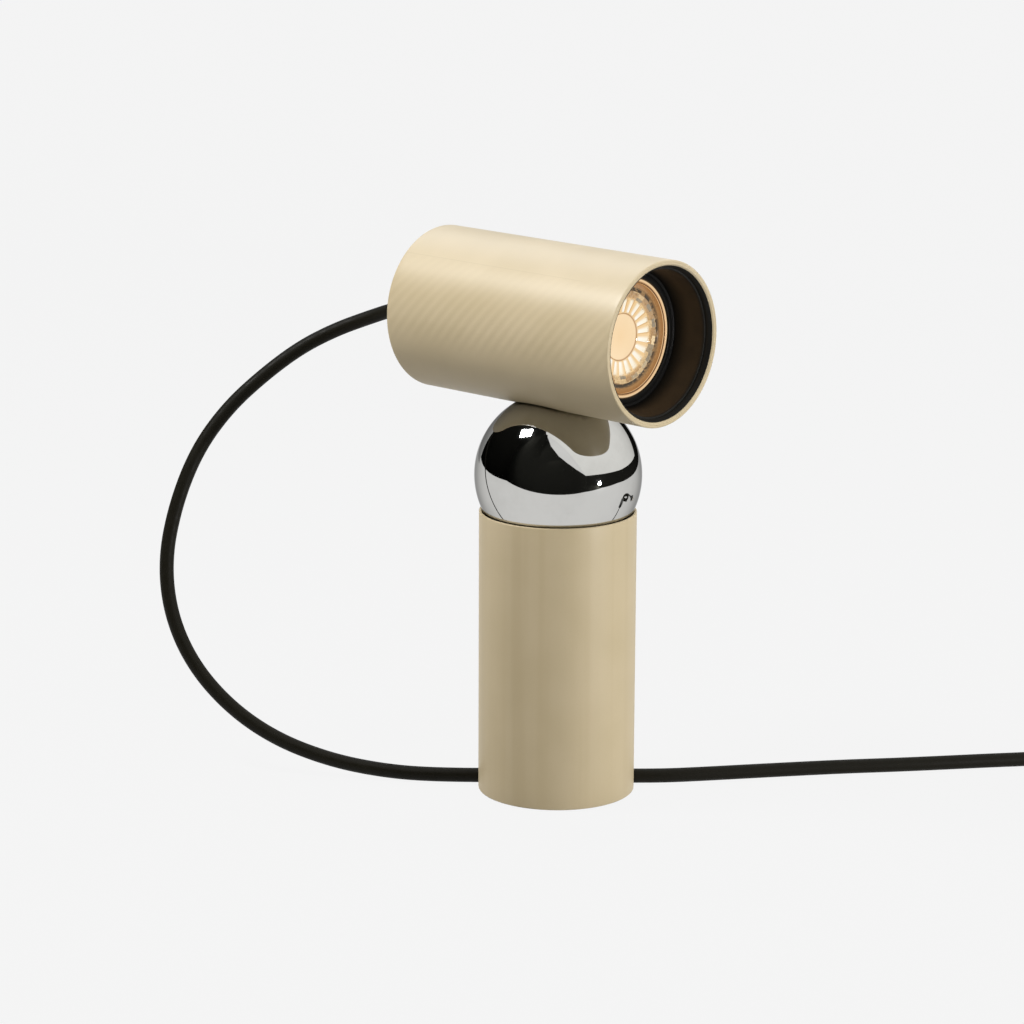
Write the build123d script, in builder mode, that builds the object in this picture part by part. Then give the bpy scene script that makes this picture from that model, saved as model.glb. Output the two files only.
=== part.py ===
"""Tabletop spot lamp: a tube head held by a magnet on a chromed ball, which stands in a weighted tube base.

Millimetres. +Z is up, the floor is z = 0, the base's axis is the Z axis, and the head points along -Y.
"""
from build123d import *
from math import cos, pi, radians, sin, sqrt, tan
import os

os.makedirs("parts", exist_ok=True)

# ---------------------------------------------------------------- driving sizes
base_h = 125.2  # floor to the base tube's rim
base_wall = 1.2
base_inset = 2.1  # ball's side to the base tube's outside
base_lift = 0.5  # floor to the base tube's lower edge
base_round = 0.4  # edges of the base tube
ball_d = 72.2
ball_wall = 2.5
rim_gap = 0.317  # ball to the base tube's bore, at its rim
head_d = 70.7  # head tube, outside
head_len = 125.8
head_wall = 2.4
ball_bite = 6.65  # how far the ball goes up into the head
head_back = 5.2  # ball's middle to the head's middle, towards the rear
head_round = 0.6  # outer edges of the head tube
head_bevel = 0.9  # inner edges of the head tube
bulb_inset = 7.65  # head tube's inside to the bulb's rim

fit_gap = 0.1  # per side, parts that are pushed into a tube or a pocket
run_gap = 0.08  # between the ball and what it turns against
touch_gap = 0.05  # between faces that are drawn together
hole_gap = 0.1  # hole radius over the screw's, where it passes through
window_gap = 0.6  # between the ball and the edge of the head's window

cord_d = 6.3
lead_heading = -47.715  # degrees from +X, the way the lead crosses the base
lead_offset = 7.0  # base's axis to the lead, sideways
channel_gap = 0.5  # round the lead in its channel
arc_share = 0.45  # of the shorter run, that each arc of a cord takes

screw_r = 1.5  # M3 screws
screw_head_r = 2.8
screw_head_h = 2.0  # pan head
screw_slot = 0.7  # width of the slots in screw heads
pin_tip = 0.2  # edge break on pins and screws

# ---------------------------------------------------------------- worked-out sizes
ball_r = ball_d / 2
base_r = ball_r - base_inset
base_bore_r = base_r - base_wall
ball_rise = sqrt(ball_r**2 - (base_bore_r - rim_gap) ** 2)  # rim to the ball's middle
ball_z = base_h + ball_rise
head_r = head_d / 2
head_bore_r = head_r - head_wall
axis_z = ball_z + ball_r - ball_bite + head_r
bulb_rim_r = head_bore_r - bulb_inset
front_y = head_back - head_len / 2
rear_y = head_back + head_len / 2
cord_r = cord_d / 2
channel_r = cord_r + channel_gap
screw_sink = screw_head_r - screw_r
lead_way = Vector(cos(radians(lead_heading)), sin(radians(lead_heading)), 0)
lead_side = Vector(-lead_way.Y, lead_way.X, 0)

along_head = Plane(origin=(0, 0, axis_z), x_dir=(0, 1, 0), z_dir=(1, 0, 0))  # x to the rear, y up
head_axis = Axis((0, 0, axis_z), (0, 1, 0))
across_lead = Plane(origin=(0, 0, 0), x_dir=lead_side, z_dir=lead_way)


def across_head(y):
    """Plane square to the head's axis: local x is -X, local y is up, and it extrudes to the rear."""
    return Plane(origin=(0, y, axis_z), x_dir=(-1, 0, 0), z_dir=(0, 1, 0))


def beside_lead(z):
    """Level plane whose local x runs along the lead's channel through the base."""
    return Plane(origin=(0, 0, z), x_dir=lead_way, z_dir=(0, 0, 1))


def save(piece, name):
    """Label a finished piece and write its file."""
    piece.part.label = name
    export_step(piece.part, f"parts/{name}.step")


def turned(outline, plane, axis):
    """Turn a closed outline of straight lines round an axis, inside the part being built."""
    with BuildSketch(plane) as profile:
        with BuildLine():
            Polyline(*outline, close=True)
        make_face()
    revolve(profile.sketch, axis=axis)


def pan_screw(tip, seat, r=screw_r, head_r=screw_head_r, head_h=screw_head_h):
    """Screw from its tip to the face that its head sits on, with a cross slot in the head."""
    way = (Vector(seat) - Vector(tip)).normalized()
    length = (Vector(seat) - Vector(tip)).length
    with BuildSketch(Plane(origin=tip, z_dir=way)) as shank:
        Circle(r)
    extrude(shank.sketch, amount=length)
    with BuildSketch(Plane(origin=seat, z_dir=way)) as head:
        Circle(head_r)
    extrude(head.sketch, amount=head_h)
    with BuildSketch(Plane(origin=Vector(seat) + way * head_h, z_dir=way)) as cross:
        Rectangle(head_r, screw_slot)
        Rectangle(screw_slot, head_r)
    extrude(cross.sketch, amount=-head_h / 2, mode=Mode.SUBTRACT)


def flat_screw(tip, face, r=screw_r, head_r=screw_head_r):
    """Countersunk screw from its tip to the face that its head is flush with, with a cross slot."""
    way = (Vector(face) - Vector(tip)).normalized()
    length = (Vector(face) - Vector(tip)).length
    shoulder = length - (head_r - r)
    plane = Plane(origin=tip, z_dir=way)
    upright = Plane(origin=tip, x_dir=plane.x_dir, z_dir=-plane.y_dir)
    turned([(0, 0), (r, 0), (r, shoulder), (head_r, length), (0, length)], upright, Axis(tip, way))
    with BuildSketch(Plane(origin=face, z_dir=way)) as cross:
        Rectangle(head_r, screw_slot)
        Rectangle(screw_slot, head_r)
    extrude(cross.sketch, amount=-(head_r - r), mode=Mode.SUBTRACT)


# ---------------------------------------------------------------- base: feet, ballast, tube
pad_inset = 4.0  # base tube's outside to the pads' edge
pad_h = 1.2
ballast_under = 47.2  # base tube's rim to the ballast's top
ballast_chamfer = 1.0
clamp_long = 10.0  # along the lead
clamp_wide = 30.0
clamp_thick = 1.6
clamp_z = pad_h + touch_gap  # clamp's lower face
clamp_bolt_side = 9.5  # lead to each clamp screw
clamp_bolt_in = 8.0  # screw in the ballast
pad_r = base_r - pad_inset
ballast_top = base_h - ballast_under
lead_low_z = cord_r  # lead's middle where it lies on the floor
lead_high_z = clamp_z + clamp_thick + cord_r + touch_gap  # and where the clamp holds it
roof_z = lead_high_z + channel_r
clamp_top = clamp_z + clamp_thick
bolt_tip_z = clamp_top + clamp_bolt_in
magnet_bolt_r = 3.0  # M6
magnet_bolt_head_r = 5.6
magnet_bolt_in = 14.0  # in the ballast

with BuildPart() as foot_pads:
    with BuildSketch(beside_lead(0)):
        Circle(pad_r)
        with Locations((0, lead_offset)):
            Rectangle(2 * base_r, 2 * channel_r, mode=Mode.SUBTRACT)
    extrude(amount=pad_h)
save(foot_pads, "foot_pads")

with BuildPart() as ballast:
    with BuildSketch(Plane.XY.offset(pad_h)):
        Circle(base_bore_r - fit_gap)
    extrude(amount=ballast_top - pad_h)
    chamfer(ballast.edges().filter_by(GeomType.CIRCLE), length=ballast_chamfer)
    with BuildSketch(across_lead):
        with Locations((lead_offset, roof_z - channel_r)):
            Circle(channel_r)
        with Locations((lead_offset, (roof_z - channel_r) / 2)):
            Rectangle(2 * channel_r, roof_z - channel_r)
    extrude(amount=base_r, both=True, mode=Mode.SUBTRACT)
    with BuildSketch(beside_lead(0)):
        with Locations((0, lead_offset)):
            Rectangle(clamp_long + 2 * fit_gap, clamp_wide + 2 * fit_gap)
    extrude(amount=clamp_top + touch_gap, mode=Mode.SUBTRACT)
    with BuildSketch(beside_lead(0)):
        with Locations((0, lead_offset - clamp_bolt_side), (0, lead_offset + clamp_bolt_side)):
            Circle(screw_r + touch_gap)
    extrude(amount=bolt_tip_z + touch_gap, mode=Mode.SUBTRACT)
    with BuildSketch(Plane.XY.offset(ballast_top)):
        Circle(magnet_bolt_r + touch_gap)
    extrude(amount=-magnet_bolt_in - touch_gap, mode=Mode.SUBTRACT)
save(ballast, "ballast")

with BuildPart() as base_tube:
    with BuildSketch(Plane.XY.offset(base_lift)):
        Circle(base_r)
        Circle(base_bore_r, mode=Mode.SUBTRACT)
    extrude(amount=base_h - base_lift)
    fillet(base_tube.edges().filter_by(GeomType.CIRCLE), radius=base_round)
    with BuildSketch(across_lead):
        with Locations((lead_offset, lead_low_z)):
            Circle(channel_r)
        with Locations((lead_offset, lead_low_z / 2)):
            Rectangle(2 * channel_r, lead_low_z)
    extrude(amount=2 * base_r, both=True, mode=Mode.SUBTRACT)
save(base_tube, "base_tube")

# ---------------------------------------------------------------- base: clamp on the lead
with BuildPart() as cord_clamp:
    with BuildSketch(beside_lead(clamp_z)):
        with Locations((0, lead_offset)):
            Rectangle(clamp_long, clamp_wide)
        with Locations((0, lead_offset - clamp_bolt_side), (0, lead_offset + clamp_bolt_side)):
            Circle(screw_r + hole_gap, mode=Mode.SUBTRACT)
    extrude(amount=clamp_thick)
    sink_edges = cord_clamp.edges().filter_by(GeomType.CIRCLE).group_by(Axis.Z)[0]
    chamfer(sink_edges, length=screw_sink)
save(cord_clamp, "cord_clamp")

with BuildPart() as clamp_screws:
    for side in (-1, 1):
        spot = lead_side * (lead_offset + side * clamp_bolt_side)
        flat_screw((spot.X, spot.Y, bolt_tip_z), (spot.X, spot.Y, clamp_z))
save(clamp_screws, "clamp_screws")


# ---------------------------------------------------------------- cords: how their tubes are made
def arc_radii(points):
    """One radius for each corner of a route, as large as the runs beside it allow."""
    runs = [b - a for a, b in zip(points, points[1:])]
    return [
        arc_share * min(a.length, b.length) / tan(radians(a.get_angle(b)) / 2)
        for a, b in zip(runs, runs[1:])
    ]


def cord_tube(points, radii, name):
    """Sweep the cord's section along straight runs and tangent arcs, and print what it measures."""
    with BuildPart() as cord:
        with BuildLine() as way:
            FilletPolyline(*points, radius=radii)
        with BuildSketch(Plane(origin=way.wire() @ 0, z_dir=way.wire() % 0)):
            Circle(cord_r)
        sweep()
    section = pi * cord_r**2
    share = cord.part.volume / (section * way.wire().length)
    print(f"{name}: length {way.wire().length:.1f}, volume share {share:.4f}")
    print("   radii", " ".join(f"{r:.0f}" for r in radii))
    save(cord, name)


# ---------------------------------------------------------------- base: lead through the foot
lead_end_in = 0.6  # base tube's outside to the lead's end, along it
lead_low_x = 24.0  # base's axis to where the lead starts to rise to the clamp
lead_held_x = 12.0  # and to where it is up
lead_end_x = base_r - lead_end_in


def along_lead(x, z):
    """Point over the line that the lead follows under the base, x from the base's axis."""
    return lead_way * x + lead_side * lead_offset + Vector(0, 0, z)


base_route = [
    along_lead(-lead_end_x, lead_low_z),
    along_lead(-lead_low_x, lead_low_z),
    along_lead(-lead_held_x, lead_high_z),
    along_lead(lead_held_x, lead_high_z),
    along_lead(lead_low_x, lead_low_z),
    along_lead(lead_end_x, lead_low_z),
]
cord_tube(base_route, arc_radii(base_route), "base_lead")

# ---------------------------------------------------------------- base: seat of the ball
seat_over = 2.0  # glide ring's highest contact to the seat's top
bowl_gap = 1.0  # ball to the bowl round it
magnet_r = 18.0
magnet_h = 8.0
magnet_drop = 1.3  # ball to the magnet
glide_in_share = 0.61  # of the ball's radius
glide_out_share = 0.748
glide_under = 3.3  # glide ring's lowest contact to the floor of its pocket
glide_in_r = ball_r * glide_in_share
glide_out_r = ball_r * glide_out_share
glide_floor = ball_z - sqrt(ball_r**2 - glide_in_r**2) - glide_under
seat_top = ball_z - sqrt(ball_r**2 - glide_out_r**2) + seat_over
magnet_top = ball_z - ball_r - magnet_drop
magnet_floor = magnet_top - magnet_h
magnet_bolt_sink = magnet_bolt_head_r - magnet_bolt_r

with BuildPart() as ball_seat:
    with BuildSketch(Plane.XY.offset(ballast_top)):
        Circle(base_bore_r - fit_gap)
        Circle(magnet_bolt_r + hole_gap, mode=Mode.SUBTRACT)
    extrude(amount=seat_top - ballast_top)
    with Locations((0, 0, ball_z)):
        Sphere(ball_r + bowl_gap, mode=Mode.SUBTRACT)
    with BuildSketch(Plane.XY.offset(magnet_floor)):
        Circle(magnet_r + fit_gap)
    extrude(amount=seat_top - magnet_floor, mode=Mode.SUBTRACT)
    with BuildSketch(Plane.XY.offset(glide_floor)):
        Circle(glide_out_r + run_gap)
        Circle(glide_in_r - run_gap, mode=Mode.SUBTRACT)
    extrude(amount=seat_top - glide_floor, mode=Mode.SUBTRACT)
save(ball_seat, "ball_seat")

with BuildPart() as base_magnet:
    with BuildSketch(Plane.XY.offset(magnet_floor)):
        Circle(magnet_r)
        Circle(magnet_bolt_r + hole_gap, mode=Mode.SUBTRACT)
    extrude(amount=magnet_h)
    rim_edges = base_magnet.edges().filter_by(GeomType.CIRCLE).group_by(Axis.Z)[-1]
    chamfer(rim_edges.sort_by(SortBy.RADIUS)[0], length=magnet_bolt_sink)
save(base_magnet, "base_magnet")

with BuildPart() as magnet_screw:
    flat_screw(
        (0, 0, ballast_top - magnet_bolt_in),
        (0, 0, magnet_top),
        magnet_bolt_r,
        magnet_bolt_head_r,
    )
save(magnet_screw, "magnet_screw")

with BuildPart() as glide_ring:
    with BuildSketch(Plane.XY.offset(glide_floor + touch_gap)):
        Circle(glide_out_r)
        Circle(glide_in_r, mode=Mode.SUBTRACT)
    extrude(amount=seat_top - glide_floor)
    with Locations((0, 0, ball_z)):
        Sphere(ball_r + run_gap, mode=Mode.SUBTRACT)
save(glide_ring, "glide_ring")

with BuildPart() as ball:
    with Locations((0, 0, ball_z)):
        Sphere(ball_r)
        Sphere(ball_r - ball_wall, mode=Mode.SUBTRACT)
save(ball, "ball")

# ---------------------------------------------------------------- head: tube and the cradle on the ball
cradle_r = 20.0
cradle_over = 6.75  # ball's top to the cradle's top
flange_wide = 14.0
flange_reach = 31.0  # ball's middle to each end of the cradle's foot
flange_rise = 3.7  # head tube's inside to the top of the cradle's foot
cradle_bolt_y = 26.0
head_magnet_r = 15.0
head_magnet_h = 5.0
head_magnet_skin = 1.1  # cradle between the ball and the magnet
bolt_skin = 0.6  # head tube left under each cradle screw
head_floor_z = axis_z - head_bore_r  # inside of the head tube, lowest line
cradle_top = ball_z + ball_r + cradle_over
flange_top = head_floor_z + flange_rise
cradle_bolt_tip = axis_z - head_r + bolt_skin
head_magnet_z = ball_z + ball_r + run_gap + head_magnet_skin

with BuildPart() as head_tube:
    with BuildSketch(across_head(front_y)):
        Circle(head_r)
        Circle(head_bore_r, mode=Mode.SUBTRACT)
    extrude(amount=head_len)
    by_radius = head_tube.edges().filter_by(GeomType.CIRCLE).group_by(SortBy.RADIUS)
    fillet(by_radius[-1], radius=head_round)
    chamfer(by_radius[0], length=head_bevel)
    with Locations((0, 0, ball_z)):
        Sphere(ball_r + window_gap, mode=Mode.SUBTRACT)
    with BuildSketch(Plane.XY.offset(cradle_bolt_tip - touch_gap)):
        with Locations((0, -cradle_bolt_y), (0, cradle_bolt_y)):
            Circle(screw_r + touch_gap)
    extrude(amount=head_wall, mode=Mode.SUBTRACT)
save(head_tube, "head_tube")

with BuildPart() as cradle:
    with BuildSketch(Plane.XY.offset(head_floor_z)):
        Circle(cradle_r)
    extrude(amount=cradle_top - head_floor_z)
    with BuildSketch(Plane.XY.offset(head_floor_z)):
        Rectangle(flange_wide, 2 * flange_reach)
    extrude(amount=flange_top - head_floor_z)
    with BuildSketch(across_head(0)):
        Circle(head_bore_r - touch_gap)
    extrude(amount=head_len, both=True, mode=Mode.INTERSECT)
    with Locations((0, 0, ball_z)):
        Sphere(ball_r + run_gap, mode=Mode.SUBTRACT)
    with BuildSketch(Plane.XY.offset(head_magnet_z)):
        Circle(head_magnet_r + fit_gap)
    extrude(amount=cradle_top - head_magnet_z, mode=Mode.SUBTRACT)
    with BuildSketch(Plane.XY.offset(flange_top)):
        with Locations((0, -cradle_bolt_y), (0, cradle_bolt_y)):
            Circle(screw_r + hole_gap)
    extrude(amount=head_floor_z - flange_top, mode=Mode.SUBTRACT)
save(cradle, "cradle")

with BuildPart() as cradle_screws:
    for y in (-cradle_bolt_y, cradle_bolt_y):
        pan_screw((0, y, cradle_bolt_tip), (0, y, flange_top))
save(cradle_screws, "cradle_screws")

with BuildPart() as head_magnet:
    with BuildSketch(Plane.XY.offset(head_magnet_z)):
        Circle(head_magnet_r)
    extrude(amount=head_magnet_h)
save(head_magnet, "head_magnet")

# ---------------------------------------------------------------- head: black liner at the front
liner_start = front_y + head_bevel
band_depth = 3.5  # head's front to the liner's step
band_wall = 0.9
step_wall = 1.7  # liner's wall just behind the step
liner_depth = 22.0  # head's front to the liner's rear edge
mouth_step = 1.25  # retainer's outside to the liner's mouth
flange_depth = 18.3  # head's front to the liner's flange
retainer_over = 2.45  # bulb's rim to the retainer's outside
retainer_wall = 2.2
retainer_front = 18.2
retainer_rear = 21.6
liner_r = head_bore_r - fit_gap
retainer_r = bulb_rim_r + retainer_over
liner_mouth_r = retainer_r + mouth_step  # inside, in front of the flange

with BuildPart() as front_liner:
    turned(
        [
            (liner_start, liner_r),
            (liner_start, liner_r - band_wall),
            (front_y + band_depth, liner_r - band_wall),
            (front_y + band_depth, liner_r - step_wall),
            (front_y + flange_depth, liner_mouth_r),
            (front_y + flange_depth, retainer_r + fit_gap),
            (front_y + liner_depth, retainer_r + fit_gap),
            (front_y + liner_depth, liner_r),
        ],
        along_head,
        head_axis,
    )
save(front_liner, "front_liner")

with BuildPart() as bulb_retainer:
    turned(
        [
            (front_y + retainer_front, retainer_r),
            (front_y + retainer_front, retainer_r - retainer_wall),
            (front_y + retainer_rear, retainer_r - retainer_wall),
            (front_y + retainer_rear, retainer_r),
        ],
        along_head,
        head_axis,
    )
save(bulb_retainer, "bulb_retainer")

# ---------------------------------------------------------------- head: bulb, 50 mm reflector with two pins
bulb_depth = 18.9  # head's front to the bulb's front
bulb_rim_wall = 1.8
bulb_rim_h = 3.0
lens_thick = 1.6
lens_sunk = 0.8
glass_wall = 1.4
reflector_len = 34.0
reflector_end_share = 0.577  # of the rim's radius
reflector_bulge = 1.2  # outwards from the straight cone, half way
ceramic_share = 0.498  # of the rim's radius
ceramic_end = 48.0  # bulb's front to the base's end
capsule_r = 4.5
capsule_len = 14.0
pin_apart = 10.0
pin_r = 1.3
pin_head_r = 2.4
pin_len = 7.0
pin_head_len = 3.0
reflector_end_r = bulb_rim_r * reflector_end_share
ceramic_r = bulb_rim_r * ceramic_share
bulb_y = front_y + bulb_depth
bulb_end_y = bulb_y + ceramic_end
reflector_end_y = bulb_y + reflector_len

with BuildPart() as bulb_rim:
    turned(
        [
            (bulb_y, bulb_rim_r),
            (bulb_y, bulb_rim_r - bulb_rim_wall),
            (bulb_y + bulb_rim_h, bulb_rim_r - bulb_rim_wall),
            (bulb_y + bulb_rim_h, bulb_rim_r),
        ],
        along_head,
        head_axis,
    )
save(bulb_rim, "bulb_rim")

with BuildPart() as bulb_lens:
    with BuildSketch(across_head(bulb_y + lens_sunk)):
        Circle(bulb_rim_r - bulb_rim_wall - touch_gap)
    extrude(amount=lens_thick)
save(bulb_lens, "bulb_lens")

with BuildPart() as bulb_reflector:
    glass_front = bulb_y + bulb_rim_h
    half_way = (glass_front + reflector_end_y) / 2
    bulged_r = (bulb_rim_r + reflector_end_r) / 2 + reflector_bulge
    with BuildSketch(along_head):
        with BuildLine():
            outer = ThreePointArc(
                (glass_front, bulb_rim_r), (half_way, bulged_r), (reflector_end_y, reflector_end_r)
            )
            Line(outer @ 1, (reflector_end_y, ceramic_r + touch_gap))
            inner = ThreePointArc(
                (reflector_end_y - glass_wall, ceramic_r + touch_gap),
                (half_way - glass_wall / 2, bulged_r - glass_wall),
                (glass_front, bulb_rim_r - glass_wall),
            )
            Line((reflector_end_y, ceramic_r + touch_gap), inner @ 0)
            Line(inner @ 1, outer @ 0)
        make_face()
    revolve(axis=head_axis)
save(bulb_reflector, "bulb_reflector")

with BuildPart() as bulb_base:
    with BuildSketch(across_head(reflector_end_y - glass_wall)):
        Circle(ceramic_r)
    extrude(amount=bulb_end_y - reflector_end_y + glass_wall)
    with BuildSketch(across_head(bulb_end_y)):
        with Locations((-pin_apart / 2, 0), (pin_apart / 2, 0)):
            Circle(pin_r + touch_gap)
    extrude(amount=-pin_len, mode=Mode.SUBTRACT)
save(bulb_base, "bulb_base")

with BuildPart() as bulb_capsule:
    with BuildSketch(across_head(reflector_end_y - glass_wall - capsule_len)):
        Circle(capsule_r)
    extrude(amount=capsule_len)
    fillet(bulb_capsule.edges().group_by(Axis.Y)[0], radius=capsule_r - pin_tip)
save(bulb_capsule, "bulb_capsule")

with BuildPart() as bulb_pins:
    with BuildSketch(across_head(bulb_end_y - pin_len)):
        with Locations((-pin_apart / 2, 0), (pin_apart / 2, 0)):
            Circle(pin_r)
    extrude(amount=2 * pin_len - pin_head_len)
    with BuildSketch(across_head(bulb_end_y + pin_len - pin_head_len)):
        with Locations((-pin_apart / 2, 0), (pin_apart / 2, 0)):
            Circle(pin_head_r)
    extrude(amount=pin_head_len)
save(bulb_pins, "bulb_pins")

# ---------------------------------------------------------------- head: lampholder on its plate
holder_over = 0.9  # bulb's base to the lampholder's outside
holder_len = 18.0
socket_gap = 0.25
holder_bolt_z = 8.5  # head's axis to each lampholder screw
holder_bolt_in = 8.0
plate_inset = 5.95  # head tube's inside to the plate's edge
plate_thick = 1.5
plate_hole_r = 4.6
standoff_inset = 12.95  # head tube's inside to each standoff
standoff_r = 3.5
standoff_bolt_in = 8.0
holder_r = ceramic_r + holder_over
plate_r = head_bore_r - plate_inset
standoff_x = head_bore_r - standoff_inset  # head's axis to each standoff
holder_y = bulb_end_y + touch_gap
holder_rear = holder_y + holder_len
plate_rear = holder_rear + plate_thick

with BuildPart() as lampholder:
    with BuildSketch(across_head(holder_y)):
        Circle(holder_r)
    extrude(amount=holder_len)
    with BuildSketch(across_head(holder_y)):
        with Locations((-pin_apart / 2, 0), (pin_apart / 2, 0)):
            Circle(pin_head_r + socket_gap)
    extrude(amount=pin_len + socket_gap, mode=Mode.SUBTRACT)
    with BuildSketch(across_head(holder_rear)):
        with Locations((0, -holder_bolt_z), (0, holder_bolt_z)):
            Circle(screw_r + touch_gap)
    extrude(amount=-holder_bolt_in - touch_gap, mode=Mode.SUBTRACT)
save(lampholder, "lampholder")

with BuildPart() as holder_plate:
    with BuildSketch(across_head(holder_rear)):
        Circle(plate_r)
        Circle(plate_hole_r, mode=Mode.SUBTRACT)
        with Locations((0, -holder_bolt_z), (0, holder_bolt_z), (-standoff_x, 0), (standoff_x, 0)):
            Circle(screw_r + hole_gap, mode=Mode.SUBTRACT)
    extrude(amount=plate_thick)
save(holder_plate, "holder_plate")

with BuildPart() as holder_screws:
    for side in (-1, 1):
        z = axis_z + side * holder_bolt_z
        pan_screw((0, holder_rear - holder_bolt_in, z), (0, plate_rear, z))
save(holder_screws, "holder_screws")

# ---------------------------------------------------------------- head: rear cap
cap_sunk = 1.0  # head's rear edge to the cap's outer face
cap_thick = 2.5
cap_skirt = 6.0
cap_wall = 1.5
vent_count = 12
vent_inset = 8.95  # head tube's inside to the middle of the vents
vent_long = 9.0
vent_wide = 2.2
relief_drop = 1.3  # head's axis to where the cord comes through the cap
relief_neck_r = 5.0
relief_flange_r = 6.6
relief_flange_h = 1.8
vent_ring_r = head_bore_r - vent_inset
cap_outer = rear_y - cap_sunk
cap_inner = cap_outer - cap_thick

with BuildPart() as rear_cap:
    with BuildSketch(across_head(cap_inner)):
        Circle(head_bore_r - fit_gap)
        with Locations((0, -relief_drop)):
            Circle(relief_neck_r + touch_gap, mode=Mode.SUBTRACT)
        with Locations((-standoff_x, 0), (standoff_x, 0)):
            Circle(screw_r + hole_gap, mode=Mode.SUBTRACT)
        with PolarLocations(vent_ring_r, vent_count, start_angle=180 / vent_count):
            SlotOverall(vent_long, vent_wide, mode=Mode.SUBTRACT)
    extrude(amount=cap_thick)
    outer_edges = rear_cap.edges().filter_by(GeomType.CIRCLE).group_by(Axis.Y)[-1]
    hole_edges = [e for e in outer_edges if abs(e.radius - screw_r - hole_gap) < touch_gap]
    chamfer(hole_edges, length=screw_sink)
    with BuildSketch(across_head(cap_inner)):
        Circle(head_bore_r - fit_gap)
        Circle(head_bore_r - fit_gap - cap_wall, mode=Mode.SUBTRACT)
    extrude(amount=-cap_skirt)
save(rear_cap, "rear_cap")

with BuildPart() as standoffs:
    with BuildSketch(across_head(plate_rear)):
        with Locations((-standoff_x, 0), (standoff_x, 0)):
            Circle(standoff_r)
            Circle(screw_r + touch_gap, mode=Mode.SUBTRACT)
    extrude(amount=cap_inner - plate_rear)
save(standoffs, "standoffs")

with BuildPart() as plate_screws:
    for x in (-standoff_x, standoff_x):
        pan_screw((x, plate_rear + standoff_bolt_in, axis_z), (x, holder_rear, axis_z))
save(plate_screws, "plate_screws")

with BuildPart() as cap_screws:
    for x in (-standoff_x, standoff_x):
        flat_screw((x, cap_inner - standoff_bolt_in, axis_z), (x, cap_outer, axis_z))
save(cap_screws, "cap_screws")

# ---------------------------------------------------------------- head: cord's way in, and its wiring
relief_root_r = 5.2
relief_tip_r = 4.0
block_wide = 18.0
block_deep = 14.0
block_tall = 12.0
block_low = 11.8  # head's axis to the block's underside
wire_r = 0.8
wire_apart = 3.0  # head's axis to each wire, at the block
core_apart = 1.4  # and at the cord's end
wire_bend = 2.4
cord_inside = 4.0  # cord's end, past the strain relief
wire_straight = 4.0
relief_past = 15.9  # head tube's rear to the strain relief's end
relief_fall = 1.45  # and how much lower that end is than its root
drawn_y = 84.0  # where the strain relief ends in the points below
drawn_z = 203.0
run_in = 20.4  # how far before the base the cord is in line with its channel
relief_z = axis_z - relief_drop
exit_y = rear_y + relief_past
exit_z = relief_z - relief_fall


def hung(x, y, z):
    """Point of the cord as drawn, moved with the strain relief in proportion to its height."""
    share = (z - cord_r) / (drawn_z - cord_r)
    return Vector(x, y + (exit_y - drawn_y) * share, cord_r + (exit_z - cord_r) * share)


head_route = [
    hung(*p)
    for p in [
        (0, 84, 203),
        (0, 96.5, 200.5),
        (-3, 110.5, 195),
        (-10.5, 123.5, 189),
        (-22, 134.5, 181),
        (-36, 143.5, 169.5),
        (-51, 151.5, 155.5),
        (-65, 157, 137.5),
        (-76, 159.5, 114.5),
        (-84.5, 158, 90.5),
        (-88, 151, 67.5),
        (-86, 139.5, 46.5),
        (-79, 123.5, 28.5),
        (-69, 105, 15.5),
        (-56.5, 84, 7.5),
        (-44, 63.5, 4.0),
    ]
] + [along_lead(-lead_end_x - run_in, cord_r), base_route[0]]
relief_in = cap_inner - relief_flange_h
relief_out = cap_outer + relief_flange_h
relief_line = Axis((0, 0, relief_z), (0, 1, 0))
along_relief = Plane(origin=(0, 0, relief_z), x_dir=(0, 1, 0), z_dir=(1, 0, 0))
cord_end_y = relief_in - cord_inside
block_rear = plate_rear + block_deep
block_mid_z = axis_z + block_low + block_tall / 2
upright_wire_y = (plate_rear + block_rear) / 2
core_way_z = axis_z + wire_r

with BuildPart() as strain_relief:
    turned(
        [
            (relief_in, 0),
            (relief_in, relief_flange_r),
            (cap_inner - touch_gap, relief_flange_r),
            (cap_inner - touch_gap, relief_neck_r),
            (cap_outer + touch_gap, relief_neck_r),
            (cap_outer + touch_gap, relief_flange_r),
            (relief_out, relief_flange_r),
            (relief_out, 0),
        ],
        along_relief,
        relief_line,
    )
    with BuildSketch(Plane(origin=(0, relief_out, relief_z), x_dir=(1, 0, 0), z_dir=(0, 1, 0))):
        Circle(relief_root_r)
    with BuildSketch(Plane(origin=head_route[0], x_dir=(1, 0, 0), z_dir=head_route[1] - head_route[0])):
        Circle(relief_tip_r)
    loft()
save(strain_relief, "strain_relief")

with BuildPart() as cord_tail:
    with BuildSketch(Plane(origin=(0, cord_end_y, relief_z), x_dir=(1, 0, 0), z_dir=(0, 1, 0))):
        Circle(cord_r)
    extrude(amount=cord_inside)
save(cord_tail, "cord_tail")

with BuildPart() as terminal_block:
    with BuildSketch(across_head(plate_rear)):
        with Locations((0, block_low + block_tall / 2)):
            Rectangle(block_wide, block_tall)
            with Locations((-wire_apart, 0), (wire_apart, 0)):
                Circle(wire_r + hole_gap, mode=Mode.SUBTRACT)
    extrude(amount=block_deep)
save(terminal_block, "terminal_block")

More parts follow.
